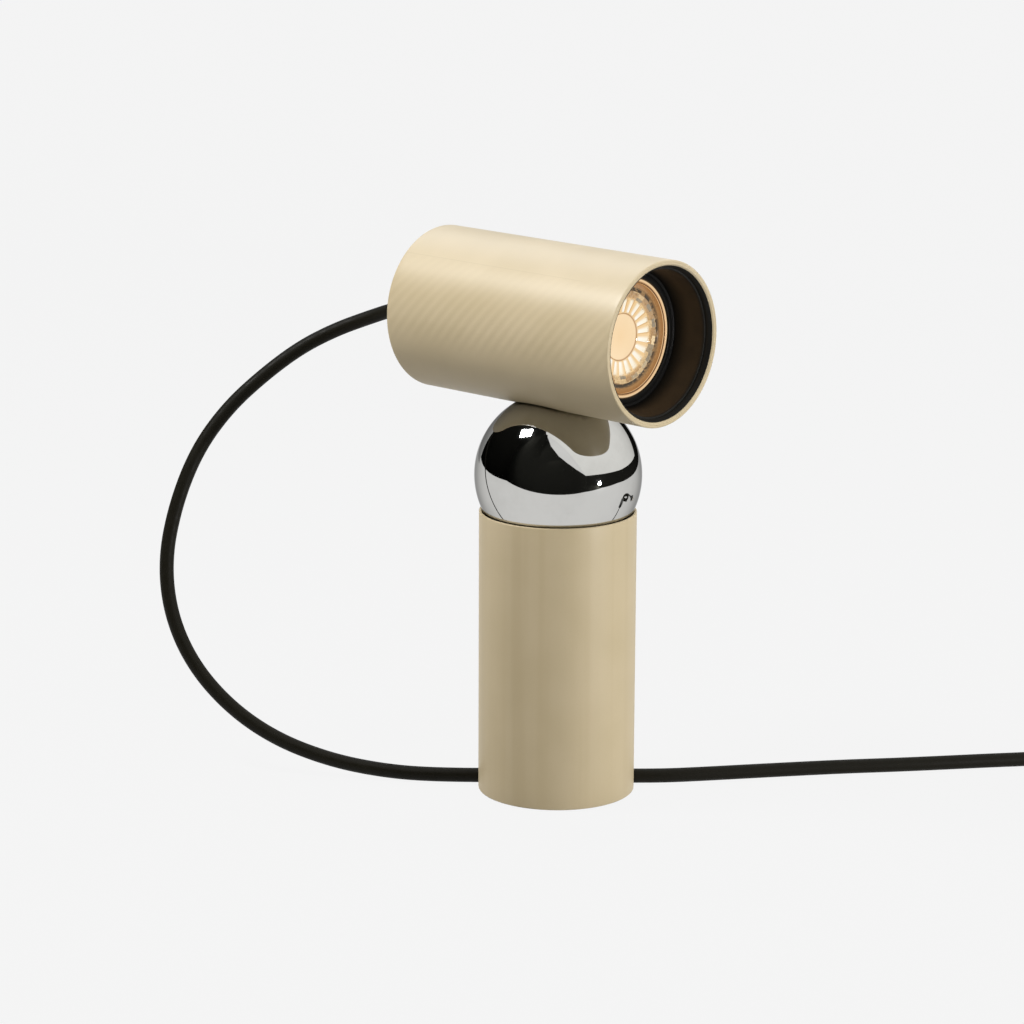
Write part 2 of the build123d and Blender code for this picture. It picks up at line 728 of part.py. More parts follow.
with BuildPart() as head_wires:
    for side in (-1, 1):
        x = side * wire_apart
        with BuildLine() as cord_core:
            FilletPolyline(
                (side * core_apart, cord_end_y, relief_z),
                (side * core_apart, cord_end_y - wire_straight, relief_z),
                (x, block_rear + wire_straight, block_mid_z),
                (x, block_rear - wire_straight, block_mid_z),
                radius=wire_bend,
            )
        with BuildSketch(Plane(origin=cord_core.wire() @ 0, z_dir=cord_core.wire() % 0)):
            Circle(wire_r)
        sweep(path=cord_core.wire())
        with BuildLine() as holder_core:
            FilletPolyline(
                (x, upright_wire_y, axis_z + block_low),
                (x, upright_wire_y, core_way_z),
                (x, holder_rear, core_way_z),
                radius=wire_bend,
            )
        with BuildSketch(Plane(origin=holder_core.wire() @ 0, z_dir=holder_core.wire() % 0)):
            Circle(wire_r)
        sweep(path=holder_core.wire())
save(head_wires, "head_wires")

# ---------------------------------------------------------------- cord from the head to the base
head_radii = arc_radii(head_route)
top_count = 6  # corner just above the first joint in the cord
middle_count = 12  # and just above the second one


def middle_of(i):
    """Middle of the run that follows corner i of the cord's route."""
    return (head_route[i] + head_route[i + 1]) / 2


cord_tube(head_route[: top_count + 1] + [middle_of(top_count)], head_radii[:top_count], "head_cord_top")
cord_tube(
    [middle_of(top_count)] + head_route[top_count + 1 : middle_count + 1] + [middle_of(middle_count)],
    head_radii[top_count:middle_count],
    "head_cord_middle",
)
cord_tube(
    [middle_of(middle_count)] + head_route[middle_count + 1 :],
    head_radii[middle_count:],
    "head_cord_bottom",
)

# ---------------------------------------------------------------- mains lead: switch in the lead
switch_mid = (209.36, -167.48)
switch_heading = -38.83  # degrees from +X
switch_long = 60.0
switch_wide = 26.0
switch_corner = 9.0
switch_lower_h = 9.0
switch_top = 19.0
switch_wall = 1.8
switch_floor = 1.3
switch_end_wall = 6.0
switch_round = 2.5
switch_cord_z = 4.6
switch_bolt = (22.5, 6.5)  # switch's middle to each screw, along it and across it
post_r = 2.9
rocker_long = 19.0
rocker_wide = 11.0
rocker_gap = 0.4  # side of the rocker to the opening
rocker_pivot_z = 15.0
rocker_top = 5.2  # pivot to the rocker's raised end
rocker_low = 4.2  # pivot to the middle of its top
rocker_depth = 4.0  # pivot to the rocker's underside
rocker_throw = 14.0  # degrees, from on to off
rocker_axle_r = 1.2
rocker_axle_out = 1.5
opening_long = 22.0
contact_thick = 0.8
contact_wide = 6.0
contact_long = 12.0
switch_plane = Plane(origin=(*switch_mid, 0), z_dir=(0, 0, 1)).rotated((0, 0, switch_heading))
switch_way = switch_plane.x_dir
switch_side = switch_plane.y_dir
bolt_spots = [(a * switch_bolt[0], b * switch_bolt[1]) for a in (-1, 1) for b in (-1, 1)]


def switch_at(z):
    """Level plane of the switch: local x along the lead, local y across it."""
    return switch_plane.offset(z)


def across_switch(x):
    """Upright plane across the switch, x along the lead from its middle: local x across, local y up."""
    return Plane(origin=switch_plane.origin + switch_way * x, x_dir=switch_side, z_dir=switch_way)


rocker_tilt = radians(rocker_throw / 2)
rocker_plane = Plane(
    origin=switch_plane.origin + Vector(0, 0, rocker_pivot_z),
    x_dir=switch_way * cos(rocker_tilt) + Vector(0, 0, sin(rocker_tilt)),
    z_dir=-switch_side,
)

with BuildPart() as switch_lower:
    with BuildSketch(switch_at(0)):
        RectangleRounded(switch_long, switch_wide, switch_corner)
    extrude(amount=switch_lower_h)
    fillet(switch_lower.edges().group_by(Axis.Z)[0], radius=switch_floor - touch_gap)
    with BuildSketch(switch_at(switch_floor)):
        RectangleRounded(switch_long - 2 * switch_end_wall, switch_wide - 2 * switch_wall, switch_wall)
    extrude(amount=switch_lower_h - switch_floor, mode=Mode.SUBTRACT)
    with BuildSketch(switch_at(switch_floor)):
        with Locations(*bolt_spots):
            Circle(post_r)
    extrude(amount=switch_lower_h - switch_floor)
    with BuildSketch(across_switch(0)):
        with Locations((0, switch_cord_z)):
            Circle(cord_r + touch_gap)
    extrude(amount=switch_long, both=True, mode=Mode.SUBTRACT)
    with BuildSketch(switch_at(switch_lower_h)):
        with Locations(*bolt_spots):
            Circle(screw_r + hole_gap)
    extrude(amount=-switch_lower_h, mode=Mode.SUBTRACT)
    with BuildSketch(switch_at(0)):
        with Locations(*bolt_spots):
            Circle(screw_head_r + hole_gap)
    extrude(amount=screw_head_h + touch_gap, mode=Mode.SUBTRACT)
save(switch_lower, "switch_lower")

with BuildPart() as switch_upper:
    with BuildSketch(switch_at(switch_lower_h + touch_gap)):
        RectangleRounded(switch_long, switch_wide, switch_corner)
    extrude(amount=switch_top - switch_lower_h - touch_gap)
    fillet(switch_upper.edges().group_by(Axis.Z)[-1], radius=switch_round)
    with BuildSketch(switch_at(switch_lower_h)):
        RectangleRounded(switch_long - 2 * switch_end_wall, switch_wide - 2 * switch_wall, switch_wall)
    extrude(amount=switch_top - switch_lower_h - switch_wall, mode=Mode.SUBTRACT)
    with BuildSketch(switch_at(switch_lower_h + touch_gap)):
        with Locations(*bolt_spots):
            Circle(post_r)
            Circle(screw_r + touch_gap, mode=Mode.SUBTRACT)
    extrude(amount=switch_top - switch_lower_h - switch_wall)
    with BuildSketch(switch_at(rocker_pivot_z - rocker_axle_r - switch_wall)):
        for side in (-1, 1):
            ear_out = switch_wide / 2 - switch_wall
            ear_in = rocker_wide / 2 + rocker_gap
            with Locations((0, side * (ear_in + ear_out) / 2)):
                Rectangle(2 * post_r, ear_out - ear_in)
    extrude(amount=switch_top - switch_wall - rocker_pivot_z + rocker_axle_r + switch_wall)
    with BuildSketch(switch_at(rocker_pivot_z)):
        Rectangle(opening_long, rocker_wide + 2 * rocker_gap)
    extrude(amount=switch_top, mode=Mode.SUBTRACT)
    with BuildSketch(rocker_plane):
        Circle(rocker_axle_r + run_gap)
    extrude(amount=rocker_wide / 2 + rocker_axle_out + rocker_gap, both=True, mode=Mode.SUBTRACT)
save(switch_upper, "switch_upper")

with BuildPart() as switch_rocker:
    with BuildSketch(rocker_plane):
        with BuildLine():
            top = ThreePointArc(
                (-rocker_long / 2, rocker_top), (0, rocker_low), (rocker_long / 2, rocker_top)
            )
            Polyline(
                top @ 1,
                (rocker_long / 2, 0),
                (rocker_long / 4, -rocker_depth),
                (-rocker_long / 4, -rocker_depth),
                (-rocker_long / 2, 0),
                top @ 0,
            )
        make_face()
    extrude(amount=rocker_wide / 2, both=True)
    with BuildSketch(rocker_plane):
        Circle(rocker_axle_r)
    extrude(amount=rocker_wide / 2 + rocker_axle_out, both=True)
save(switch_rocker, "switch_rocker")

with BuildPart() as switch_screws:
    for x, y in bolt_spots:
        spot = switch_plane.origin + switch_way * x + switch_side * y
        foot = spot + Vector(0, 0, screw_head_h)
        pan_screw(spot + Vector(0, 0, switch_top - 2 * switch_wall), foot)
save(switch_screws, "switch_screws")

with BuildPart() as switch_contacts:
    with BuildSketch(switch_at(switch_floor)):
        with Locations((-contact_long, 0), (contact_long, 0)):
            Rectangle(contact_long, contact_wide)
    extrude(amount=contact_thick)
save(switch_contacts, "switch_contacts")

# ---------------------------------------------------------------- mains lead: to the switch, then to the coil
coil_mid = (289.3, -176.5)
coil_in_r = 23.8
coil_out_r = 46.2
coil_tall = 13.0
coil_round = 2.8
tie_angle = 120.0  # degrees from +X, round the coil's middle
tie_wide = 12.0
tie_thick = 1.2
tie_gap = 0.1
tie_over = 0.9  # tie past the coil's inner side
mains_route = [base_route[-1]] + [
    Vector(p)
    for p in [
        (35.72, -28.88, cord_r),
        (48.6, -39.4, cord_r),
        (71.0, -56.3, cord_r),
        (99.5, -78.2, cord_r),
        (121.4, -97.0, cord_r),
        (140.6, -112.3, cord_r),
        (151.7, -121.0, cord_r),
        (172.7, -138.3, cord_r),
        (179.7, -143.6, switch_cord_z),
        (193.0, -154.3, switch_cord_z),
    ]
]
link_route = [
    Vector(p)
    for p in [
        (229.6, -183.8, switch_cord_z),
        (240.9, -192.8, switch_cord_z),
        (251.2, -201.3, cord_r),
        (262.3, -210.1, cord_r),
    ]
]
coil_line = Axis((*coil_mid, 0), (0, 0, 1))
coil_plane = Plane(origin=(*coil_mid, 0), x_dir=(1, 0, 0), z_dir=(0, -1, 0))
tie_plane = Plane(
    origin=(*coil_mid, 0),
    x_dir=(cos(radians(tie_angle)), sin(radians(tie_angle)), 0),
    z_dir=(sin(radians(tie_angle)), -cos(radians(tie_angle)), 0),
)
cord_tube(mains_route, arc_radii(mains_route), "mains_lead")
cord_tube(link_route, arc_radii(link_route), "coil_link")

with BuildPart() as lead_coil:
    with BuildSketch(coil_plane):
        with Locations(((coil_in_r + coil_out_r) / 2, coil_tall / 2)):
            RectangleRounded(coil_out_r - coil_in_r, coil_tall, coil_round)
    revolve(axis=coil_line)
    with BuildSketch(tie_plane):
        with Locations(((coil_in_r + coil_out_r) / 2, coil_tall / 2)):
            outside = coil_out_r - coil_in_r + 2 * tie_over
            Rectangle(outside + 2 * tie_gap, coil_tall + 2 * tie_gap)
            inside = outside - 2 * tie_thick - 2 * tie_gap
            Rectangle(inside, coil_tall - 2 * tie_thick - 2 * tie_gap, mode=Mode.SUBTRACT)
    extrude(amount=tie_wide / 2 + tie_gap, both=True, mode=Mode.SUBTRACT)
save(lead_coil, "lead_coil")

with BuildPart() as coil_tie:
    with BuildSketch(tie_plane):
        with Locations(((coil_in_r + coil_out_r) / 2, coil_tall / 2)):
            outside = coil_out_r - coil_in_r + 2 * tie_over
            Rectangle(outside, coil_tall)
            Rectangle(outside - 2 * tie_thick, coil_tall - 2 * tie_thick, mode=Mode.SUBTRACT)
    extrude(amount=tie_wide / 2, both=True)
save(coil_tie, "coil_tie")

# ---------------------------------------------------------------- mains lead: plug
plug_z = 6.9  # plug's middle over the floor
plug_thick = 13.6
plug_wide = 35.0
plug_neck = 15.0  # width at the rear
plug_len = 32.0
plug_shoulder = 12.0  # length of the full-width part
plug_round = 3.0
plug_relief_len = 24.0
plug_relief_r = 5.6
plug_relief_tip = 4.2
plug_pin_apart = 19.0
plug_pin_r = 2.0
plug_pin_len = 19.0
plug_pin_in = 9.0
sleeve_len = 10.0
sleeve_wall = 0.6
tail_route = [
    Vector(p)
    for p in [
        (332.4, -176.5, 9.6),
        (332.3, -162.6, 9.3),
        (331.4, -147.6, 7.6),
        (330.0, -132.6, plug_z),
        (328.7, -119.6, plug_z),
    ]
]
plug_way = (tail_route[-1] - tail_route[-2]).normalized()
plug_side = Vector(-plug_way.Y, plug_way.X, 0)


def along_plug(y):
    """Plane square to the plug's axis, y from the cord's end: local x across the plug, local y up."""
    return Plane(origin=tail_route[-1] + plug_way * y, x_dir=plug_side, z_dir=plug_way)


plug_rear = plug_relief_len
plug_face = plug_relief_len + plug_len
plug_level = Plane(origin=tail_route[-1], x_dir=plug_way, z_dir=(0, 0, 1))
pin_spots = [(-plug_pin_apart / 2, 0), (plug_pin_apart / 2, 0)]
cord_tube(tail_route, arc_radii(tail_route), "plug_tail")

with BuildPart() as plug_relief:
    with BuildSketch(along_plug(0)):
        Circle(plug_relief_tip)
    with BuildSketch(along_plug(plug_relief_len)):
        Circle(plug_relief_r)
    loft()
save(plug_relief, "plug_relief")

with BuildPart() as plug_body:
    with BuildSketch(plug_level):
        with BuildLine():
            Polyline(
                (plug_rear, -plug_neck / 2),
                (plug_face - plug_shoulder, -plug_wide / 2),
                (plug_face, -plug_wide / 2),
                (plug_face, plug_wide / 2),
                (plug_face - plug_shoulder, plug_wide / 2),
                (plug_rear, plug_neck / 2),
                close=True,
            )
        make_face()
    extrude(amount=plug_thick / 2, both=True)
    fillet(plug_body.edges().filter_by(Axis.Z), radius=plug_round)
    fillet(plug_body.edges().filter_by(Plane.XY), radius=plug_round - pin_tip)
    with BuildSketch(along_plug(plug_face)):
        with Locations(*pin_spots):
            Circle(plug_pin_r)
    extrude(amount=-plug_pin_in, mode=Mode.SUBTRACT)
save(plug_body, "plug_body")

with BuildPart() as pin_sleeves:
    with BuildSketch(along_plug(plug_face - plug_pin_in)):
        with Locations(*pin_spots):
            Circle(plug_pin_r - touch_gap)
            Circle(plug_pin_r - sleeve_wall, mode=Mode.SUBTRACT)
    extrude(amount=plug_pin_in + sleeve_len)
save(pin_sleeves, "pin_sleeves")

with BuildPart() as plug_pins:
    with BuildSketch(along_plug(plug_face - plug_pin_in)):
        with Locations(*pin_spots):
            Circle(plug_pin_r - sleeve_wall - touch_gap)
    extrude(amount=plug_pin_in + sleeve_len)
    with BuildSketch(along_plug(plug_face + sleeve_len)):
        with Locations(*pin_spots):
            Circle(plug_pin_r)
    extrude(amount=plug_pin_len - sleeve_len)
    tips = plug_pins.faces().filter_by(GeomType.PLANE).sort_by(Axis.Y)[-2:]
    fillet(tips.edges(), radius=plug_pin_r - pin_tip)
save(plug_pins, "plug_pins")
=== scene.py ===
from math import cos, pi, radians, sin

import bpy
import numpy as np
from mathutils import Matrix, Quaternion, Vector


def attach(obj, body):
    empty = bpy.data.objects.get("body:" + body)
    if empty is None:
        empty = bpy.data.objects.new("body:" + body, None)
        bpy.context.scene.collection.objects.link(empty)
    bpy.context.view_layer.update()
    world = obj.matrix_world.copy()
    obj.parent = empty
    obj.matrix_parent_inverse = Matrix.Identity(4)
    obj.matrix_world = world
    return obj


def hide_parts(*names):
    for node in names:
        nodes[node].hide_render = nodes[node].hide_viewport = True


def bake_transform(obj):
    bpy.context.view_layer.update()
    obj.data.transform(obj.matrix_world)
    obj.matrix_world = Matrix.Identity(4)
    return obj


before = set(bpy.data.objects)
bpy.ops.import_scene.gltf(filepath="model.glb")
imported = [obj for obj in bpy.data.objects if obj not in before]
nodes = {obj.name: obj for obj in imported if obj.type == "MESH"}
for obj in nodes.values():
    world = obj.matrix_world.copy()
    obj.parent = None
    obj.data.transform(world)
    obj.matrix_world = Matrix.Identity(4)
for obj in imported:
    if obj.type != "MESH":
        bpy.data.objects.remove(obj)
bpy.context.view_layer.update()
scene = bpy.context.scene
scene.view_settings.view_transform = "Standard"
mm = 0.001
print("frame loaded:", len(nodes), "nodes")


# shader maths and mesh helpers

class Wire:
    # an output socket that sums, products and powers can be written with
    def __init__(self, owner, socket):
        self.owner, self.socket = owner, socket

    def __add__(self, other):
        return self.owner.maths("ADD", self, other)

    def __sub__(self, other):
        return self.owner.maths("SUBTRACT", self, other)

    def __rsub__(self, other):
        return self.owner.maths("SUBTRACT", other, self)

    def __mul__(self, other):
        return self.owner.maths("MULTIPLY", self, other)

    def __truediv__(self, other):
        return self.owner.maths("DIVIDE", self, other)

    def __pow__(self, other):
        return self.owner.maths("POWER", self, other)

    __radd__ = __add__
    __rmul__ = __mul__


class Nodes:
    # the nodes of a material or of the world: node() makes any of them, the rest are short ways to the usual ones
    def __init__(self, tree):
        self.tree = tree
        tree.nodes.clear()

    def node(self, kind, settings=None, inputs=None, out=0):
        # gives the wire of one output, or with out=None the node itself
        made = self.tree.nodes.new(kind)
        for key, value in (settings or {}).items():
            if key == "stops":  # a ramp's stops, as place and colour, the first at 0 and the last at 1
                ramp = made.color_ramp.elements
                ramp[0].color, ramp[1].color = (*value[0][1], 1), (*value[-1][1], 1)
                for place, shade in value[1:-1]:
                    ramp.new(place).color = (*shade, 1)
            else:
                setattr(made, key, value)
        for key, value in (inputs or {}).items():
            self.feed(made.inputs[key.replace("_", " ") if isinstance(key, str) else key], value)
        return made if out is None else Wire(self, made.outputs[out])

    def feed(self, socket, value):
        if isinstance(value, Wire):
            value = value.socket
        if isinstance(value, bpy.types.NodeSocket):
            self.tree.links.new(value, socket)
        elif isinstance(value, tuple) and len(value) == 3 and socket.type == "RGBA":
            socket.default_value = (*value, 1)
        else:
            socket.default_value = value

    def here(self):
        return self.node("ShaderNodeTexCoord", out="Object")

    def wrap(self):
        return self.node("ShaderNodeUVMap", {"uv_map": "wrap"})

    def parts(self, vector):
        split = self.node("ShaderNodeSeparateXYZ", inputs={0: vector}, out=None)
        return [Wire(self, split.outputs[k]) for k in range(3)]

    def noise(self, size, detail=2.0, rough=0.5, at=None):
        # size is about the width of one blot, in metres
        where = self.here() if at is None else at
        return self.node("ShaderNodeTexNoise", {"noise_dimensions": "3D"},
                         {"Vector": where, "Scale": 1 / size, "Detail": detail, "Roughness": rough})

    def stretched(self, vector, scale):
        return self.node("ShaderNodeMapping", {"vector_type": "POINT"}, {"Vector": vector, "Scale": scale})

    def ease(self, value, low, high, start=0.0, end=1.0):
        return self.node("ShaderNodeMapRange", {"interpolation_type": "SMOOTHSTEP"},
                         {"Value": value, "From Min": low, "From Max": high, "To Min": start, "To Max": end})

    def maths(self, kind, first, second=0.0):
        return self.node("ShaderNodeMath", {"operation": kind}, {0: first, 1: second})

    def band(self, value, middle, half, soft):
        # 1 within half of the middle, fading to 0 over the next soft
        return self.ease(self.maths("ABSOLUTE", value - middle), half, half + soft, 1.0, 0.0)

    def along(self, way):
        # how far along a way a point lies
        return self.node("ShaderNodeVectorMath", {"operation": "DOT_PRODUCT"}, {0: self.here(), 1: tuple(way)},
                         "Value")

    def mix(self, share, first, second):
        return self.node("ShaderNodeMix", {"data_type": "RGBA"}, {0: share, 6: first, 7: second}, 2)

    def bump(self, height, deep, over=None):
        # deep is the height of the bumps in metres
        inputs = {"Height": height, "Distance": deep, "Strength": 1.0}
        if over is not None:
            inputs["Normal"] = over
        return self.node("ShaderNodeBump", inputs=inputs)

    def seen(self):
        # 1 for what the camera, metal and glass see, and 0 for the light that falls on things
        rays = self.node("ShaderNodeLightPath", out=None).outputs
        kinds = ("Is Camera Ray", "Is Glossy Ray", "Is Transmission Ray")
        camera, glossy, through = (Wire(self, rays[kind]) for kind in kinds)
        return self.node("ShaderNodeClamp", inputs={0: camera + glossy + through})


class Finish(Nodes):
    # one material: a Principled node with its constants set on its own sockets
    def __init__(self, name, **plain):
        self.material = bpy.data.materials.new(name)
        self.material.use_nodes = True
        super().__init__(self.material.node_tree)
        self.shader = self.node("ShaderNodeBsdfPrincipled", inputs=plain, out=None)
        self.output = self.node("ShaderNodeOutputMaterial", inputs={"Surface": self.shader.outputs[0]}, out=None)

    def put(self, **links):
        for key, value in links.items():
            self.feed(self.shader.inputs[key.replace("_", " ")], value)
        return self


def tint(red, green, blue):
    # a colour written as a screen shows it, 0 to 255, made linear
    shade = np.array([red, green, blue]) / 255
    return tuple(float(c) for c in np.where(shade < 0.04045, shade / 12.92, ((shade + 0.055) / 1.055) ** 2.4))


def surface(name, grid, finish, loop=False, across=True, caps=True, sharp=32):
    # grid[i, j] is the point at step i of the outline and step j of the way round; quads join neighbours,
    # the last row meets the first in a loop, and other ends close on the middle of their ring
    rows, cols = grid.shape[:2]
    i, j = np.meshgrid(np.arange(rows if loop else rows - 1), np.arange(cols if across else cols - 1), indexing="ij")
    nextI, nextJ = (i + 1) % rows, (j + 1) % cols
    faces = np.stack([i * cols + j, i * cols + nextJ, nextI * cols + nextJ, nextI * cols + j], -1).reshape(-1, 4)
    points = grid.reshape(-1, 3)
    step = np.linalg.norm(np.diff(grid, axis=0, append=grid[:1]), axis=2).mean(1)
    along = np.concatenate([[0], np.cumsum(step)])
    ringStep = np.linalg.norm(np.diff(grid, axis=1, append=grid[:, :1]), axis=2)
    around = np.concatenate([[0], np.cumsum(ringStep[ringStep.sum(1).argmax()])])
    wrap = np.stack([np.stack([around[j], along[i]], -1), np.stack([around[j + 1], along[i]], -1),
                     np.stack([around[j + 1], along[i + 1]], -1), np.stack([around[j], along[i + 1]], -1)], 2)
    wrap = wrap.reshape(-1, 2)
    faceList = faces.tolist()
    if caps and not loop:
        points = np.vstack([points, grid[0].mean(0), grid[-1].mean(0)])
        k = np.arange(cols)
        first = np.stack([(k + 1) % cols, k, np.full(cols, rows * cols)], -1)
        last = np.stack([k, (k + 1) % cols, np.full(cols, rows * cols + 1)], -1)
        last[:, :2] += (rows - 1) * cols
        ends = np.vstack([first, last])
        faceList += ends.tolist()
        wrap = np.vstack([wrap, points[ends.ravel()][:, :2]])
    a, b, c = (points[faces[:, k]] for k in (0, 1, 2))
    d = points[faces[:, 3]]
    volume = (np.cross(a, b) * c).sum() + (np.cross(a, c) * d).sum()
    mesh = bpy.data.meshes.new(name)
    mesh.from_pydata(points.tolist(), [], faceList)
    layer = mesh.uv_layers.new(name="wrap")
    layer.data.foreach_set("uv", wrap.astype(np.float32).ravel())
    if volume < 0:
        mesh.flip_normals()
    return shown(name, mesh, finish, sharp)


def shown(name, mesh, finish, sharp=32):
    mesh.polygons.foreach_set("use_smooth", np.ones(len(mesh.polygons), bool))
    mesh.set_sharp_from_angle(angle=radians(sharp))
    mesh.materials.append(finish.material)
    mesh.update()
    piece = bpy.data.objects.new(name, mesh)
    scene.collection.objects.link(piece)
    return piece


def rounded(corners, steps=5, closed=True):
    # corners as along, radius, rounding in mm: each becomes an arc that touches both runs beside it
    points = np.array(corners, float)
    made = []
    for k, (a, r, size) in enumerate(points):
        here = np.array([a, r])
        if size == 0 or not closed and k in (0, len(points) - 1):
            made.append(here[None])
            continue
        back = points[k - 1, :2] - here
        ahead = points[(k + 1) % len(points), :2] - here
        back, ahead = back / np.linalg.norm(back), ahead / np.linalg.norm(ahead)
        half = np.arccos(np.clip(back @ ahead, -1, 1)) / 2
        middle = here + (back + ahead) / np.linalg.norm(back + ahead) * size / sin(half)
        start, end = here + back * size / np.tan(half) - middle, here + ahead * size / np.tan(half) - middle
        turn = pi - 2 * half
        t = np.linspace(0, 1, steps + 1)[:, None]
        made.append(middle + (np.sin((1 - t) * turn) * start + np.sin(t * turn) * end) / sin(turn))
    return np.vstack(made) * mm


def lathe(name, outline, line, steps, finish, loop=True, sharp=32):
    # a point (along, radius) of the outline goes round the line:
    # origin + along * way + radius * (cos t side + sin t up)
    origin, side, up, way = (np.array(v, float) for v in line)
    t = np.linspace(0, 2 * pi, steps, endpoint=False)
    ring = np.cos(t)[:, None] * side + np.sin(t)[:, None] * up
    along, radius = outline.T
    grid = origin + along[:, None, None] * way + radius[:, None, None] * ring
    return surface(name, grid, finish, loop=loop, sharp=sharp)


def squareRings(path, radii, lean, sides):
    # each ring is centre + radius * (cos t across + sin t over), square to the path; lean is never along the path
    way = np.gradient(path, axis=0)
    way /= np.linalg.norm(way, axis=1)[:, None]
    across = np.cross(way, lean)
    across /= np.linalg.norm(across, axis=1)[:, None]
    over = np.cross(across, way)
    t = np.linspace(0, 2 * pi, sides, endpoint=False)[None, :, None]
    radii = np.broadcast_to(radii, len(path))[:, None, None]
    return path[:, None] + radii * (np.cos(t) * across[:, None] + np.sin(t) * over[:, None])


def smoothLine(points, fine):
    # quadratic NURBS spline through the route, with the route's points as its control points
    curve = bpy.data.curves.new("line", "CURVE")
    curve.dimensions = "3D"
    addSpline(curve, points, fine)
    return curve


def addSpline(curve, points, fine):
    spline = curve.splines.new("NURBS")
    spline.points.add(len(points) - 1)
    spline.points.foreach_set("co", np.hstack([points, np.ones((len(points), 1))]).ravel())
    spline.order_u = 3
    spline.use_endpoint_u = True
    spline.resolution_u = fine


def readLine(points, fine=16):
    curve = smoothLine(points, fine)
    holder = bpy.data.objects.new("line", curve)
    mesh = bpy.data.meshes.new_from_object(holder)
    line = np.empty(len(mesh.vertices) * 3)
    mesh.vertices.foreach_get("co", line)
    bpy.data.objects.remove(holder)
    bpy.data.meshes.remove(mesh)
    return line.reshape(-1, 3)


def lengthOf(line):
    return float(np.linalg.norm(np.diff(line, axis=0), axis=1).sum())


def cut(piece, *cutters):
    for cutter in cutters:
        change = piece.modifiers.new("cut", "BOOLEAN")
        change.operation, change.solver, change.object = "DIFFERENCE", "EXACT", cutter
    bpy.context.view_layer.update()
    seen = piece.evaluated_get(bpy.context.evaluated_depsgraph_get())
    mesh = bpy.data.meshes.new_from_object(seen)
    piece.modifiers.clear()
    old, piece.data = piece.data, mesh
    bpy.data.meshes.remove(old)
    for cutter in cutters:
        bpy.data.objects.remove(cutter)
    return piece


# camera, background, floor and lights

view = {"place": (-1.1894296, -1.0550160, 0.5184329),
        "right": (0.67357792, -0.73910448, 0.00416499),
        "up": (0.17520689, 0.16514303, 0.97058247),
        "forward": (0.71804967, 0.65303319, -0.24073289),
        "lens": 133.776}
cameraData = bpy.data.cameras.new("camera")
cameraData.lens, cameraData.sensor_width = view["lens"], 36
cameraData.clip_start, cameraData.clip_end = 0.05, 50
camera = bpy.data.objects.new("camera", cameraData)
scene.collection.objects.link(camera)
turn = Matrix([view["right"], view["up"], [-x for x in view["forward"]]]).transposed().to_4x4()
camera.matrix_world = Matrix.Translation(view["place"]) @ turn
scene.camera = camera

room = {"background": 0.94,  # the pale tone that the camera sees behind the lamp
        "floorTone": 0.24,  # how much of the light the floor gives back to the lamp
        "floorShow": 0.93,  # how far the camera sees the floor as background, the rest keeps the shadow
        "floorGlow": 0.955,
        "world": 0.79,
        "floorHalf": 9.0}
world = bpy.data.worlds.new("studio")
scene.world = world
world.use_nodes = True
sky = Nodes(world.node_tree)
plainSky, seenSky = (sky.node("ShaderNodeBackground", inputs={"Color": (1, 1, 1), "Strength": room[strength]})
                     for strength in ("world", "background"))
bothSkies = sky.node("ShaderNodeMixShader", inputs={0: sky.seen(), 1: plainSky, 2: seenSky})
sky.node("ShaderNodeOutputWorld", inputs={"Surface": bothSkies}, out=None)


def floorFinish():
    # pale matt floor; the camera, metal and glass see it mostly as background, so it stays even but keeps its shadow
    tone = room["floorTone"]
    made = Finish("paleFloor", Base_Color=(tone, tone, tone), Roughness=0.9)
    made.shader.inputs["Specular IOR Level"].default_value = 0.1
    glow = made.node("ShaderNodeEmission", inputs={"Color": (1, 1, 1), "Strength": room["floorGlow"]})
    share = made.seen() * room["floorShow"]
    made.feed(made.output.inputs["Surface"],
              made.node("ShaderNodeMixShader", inputs={0: share, 1: made.shader.outputs[0], 2: glow}))
    return made


def sheetOf(name, corners, finish, steps=2):
    # flat sheet between four corners, in order round it: the corners weighted by (1-u)(1-v), u(1-v), uv, (1-u)v
    a, b, c, d = (np.array(p, float) for p in corners)
    u, v = np.meshgrid(np.linspace(0, 1, steps), np.linspace(0, 1, steps), indexing="ij")
    u, v = u[..., None], v[..., None]
    grid = a * (1 - u) * (1 - v) + b * u * (1 - v) + c * u * v + d * (1 - u) * v
    return surface(name, grid, finish, across=False, caps=False)


half = room["floorHalf"]
floor = sheetOf("floor", [(-half, -half, 0), (half, -half, 0), (half, half, 0), (-half, half, 0)], floorFinish(), 9)

front = Vector((-view["forward"][0], -view["forward"][1], 0)).normalized()  # towards the camera, level
side = Vector((view["right"][0], view["right"][1], 0)).normalized()  # to the camera's right, level
ballMiddle = Vector((0, 0, 0.14095))


def aimed(azimuth, elevation, distance):
    # place seen from the ball: azimuth from the camera towards its right, in degrees
    a, e = radians(azimuth), radians(elevation)
    return ballMiddle + (front * cos(a) + side * sin(a)) * cos(e) * distance + Vector((0, 0, sin(e) * distance))


def ruled(name, low, high, finish):
    # sheet between two edges: each row is low + (high - low) t
    t = np.linspace(0, 1, 7)[:, None, None]
    low, high = np.array(low), np.array(high)
    card = surface(name, low + (high - low) * t, finish, across=False, caps=False)
    card.visible_camera = False
    return card


darkCard = Finish("darkCard", Base_Color=(0.016, 0.016, 0.014), Roughness=1.0)
darkCard.shader.inputs["Specular IOR Level"].default_value = 0

tent = {"bearings": [-141, -133, -120, -105, -90, -75, -60, -45, -30, -15, 0, 12, 24, 37],
        "tops": [62, 70, 78, 80, 80, 80, 78, 74, 62.5, 50, 37, 28, 18.5, 8.7],
        "ahead": 0.565, "aside": 2.2, "longest": 9.0, "highest": 1.35, "lean": 0.99}


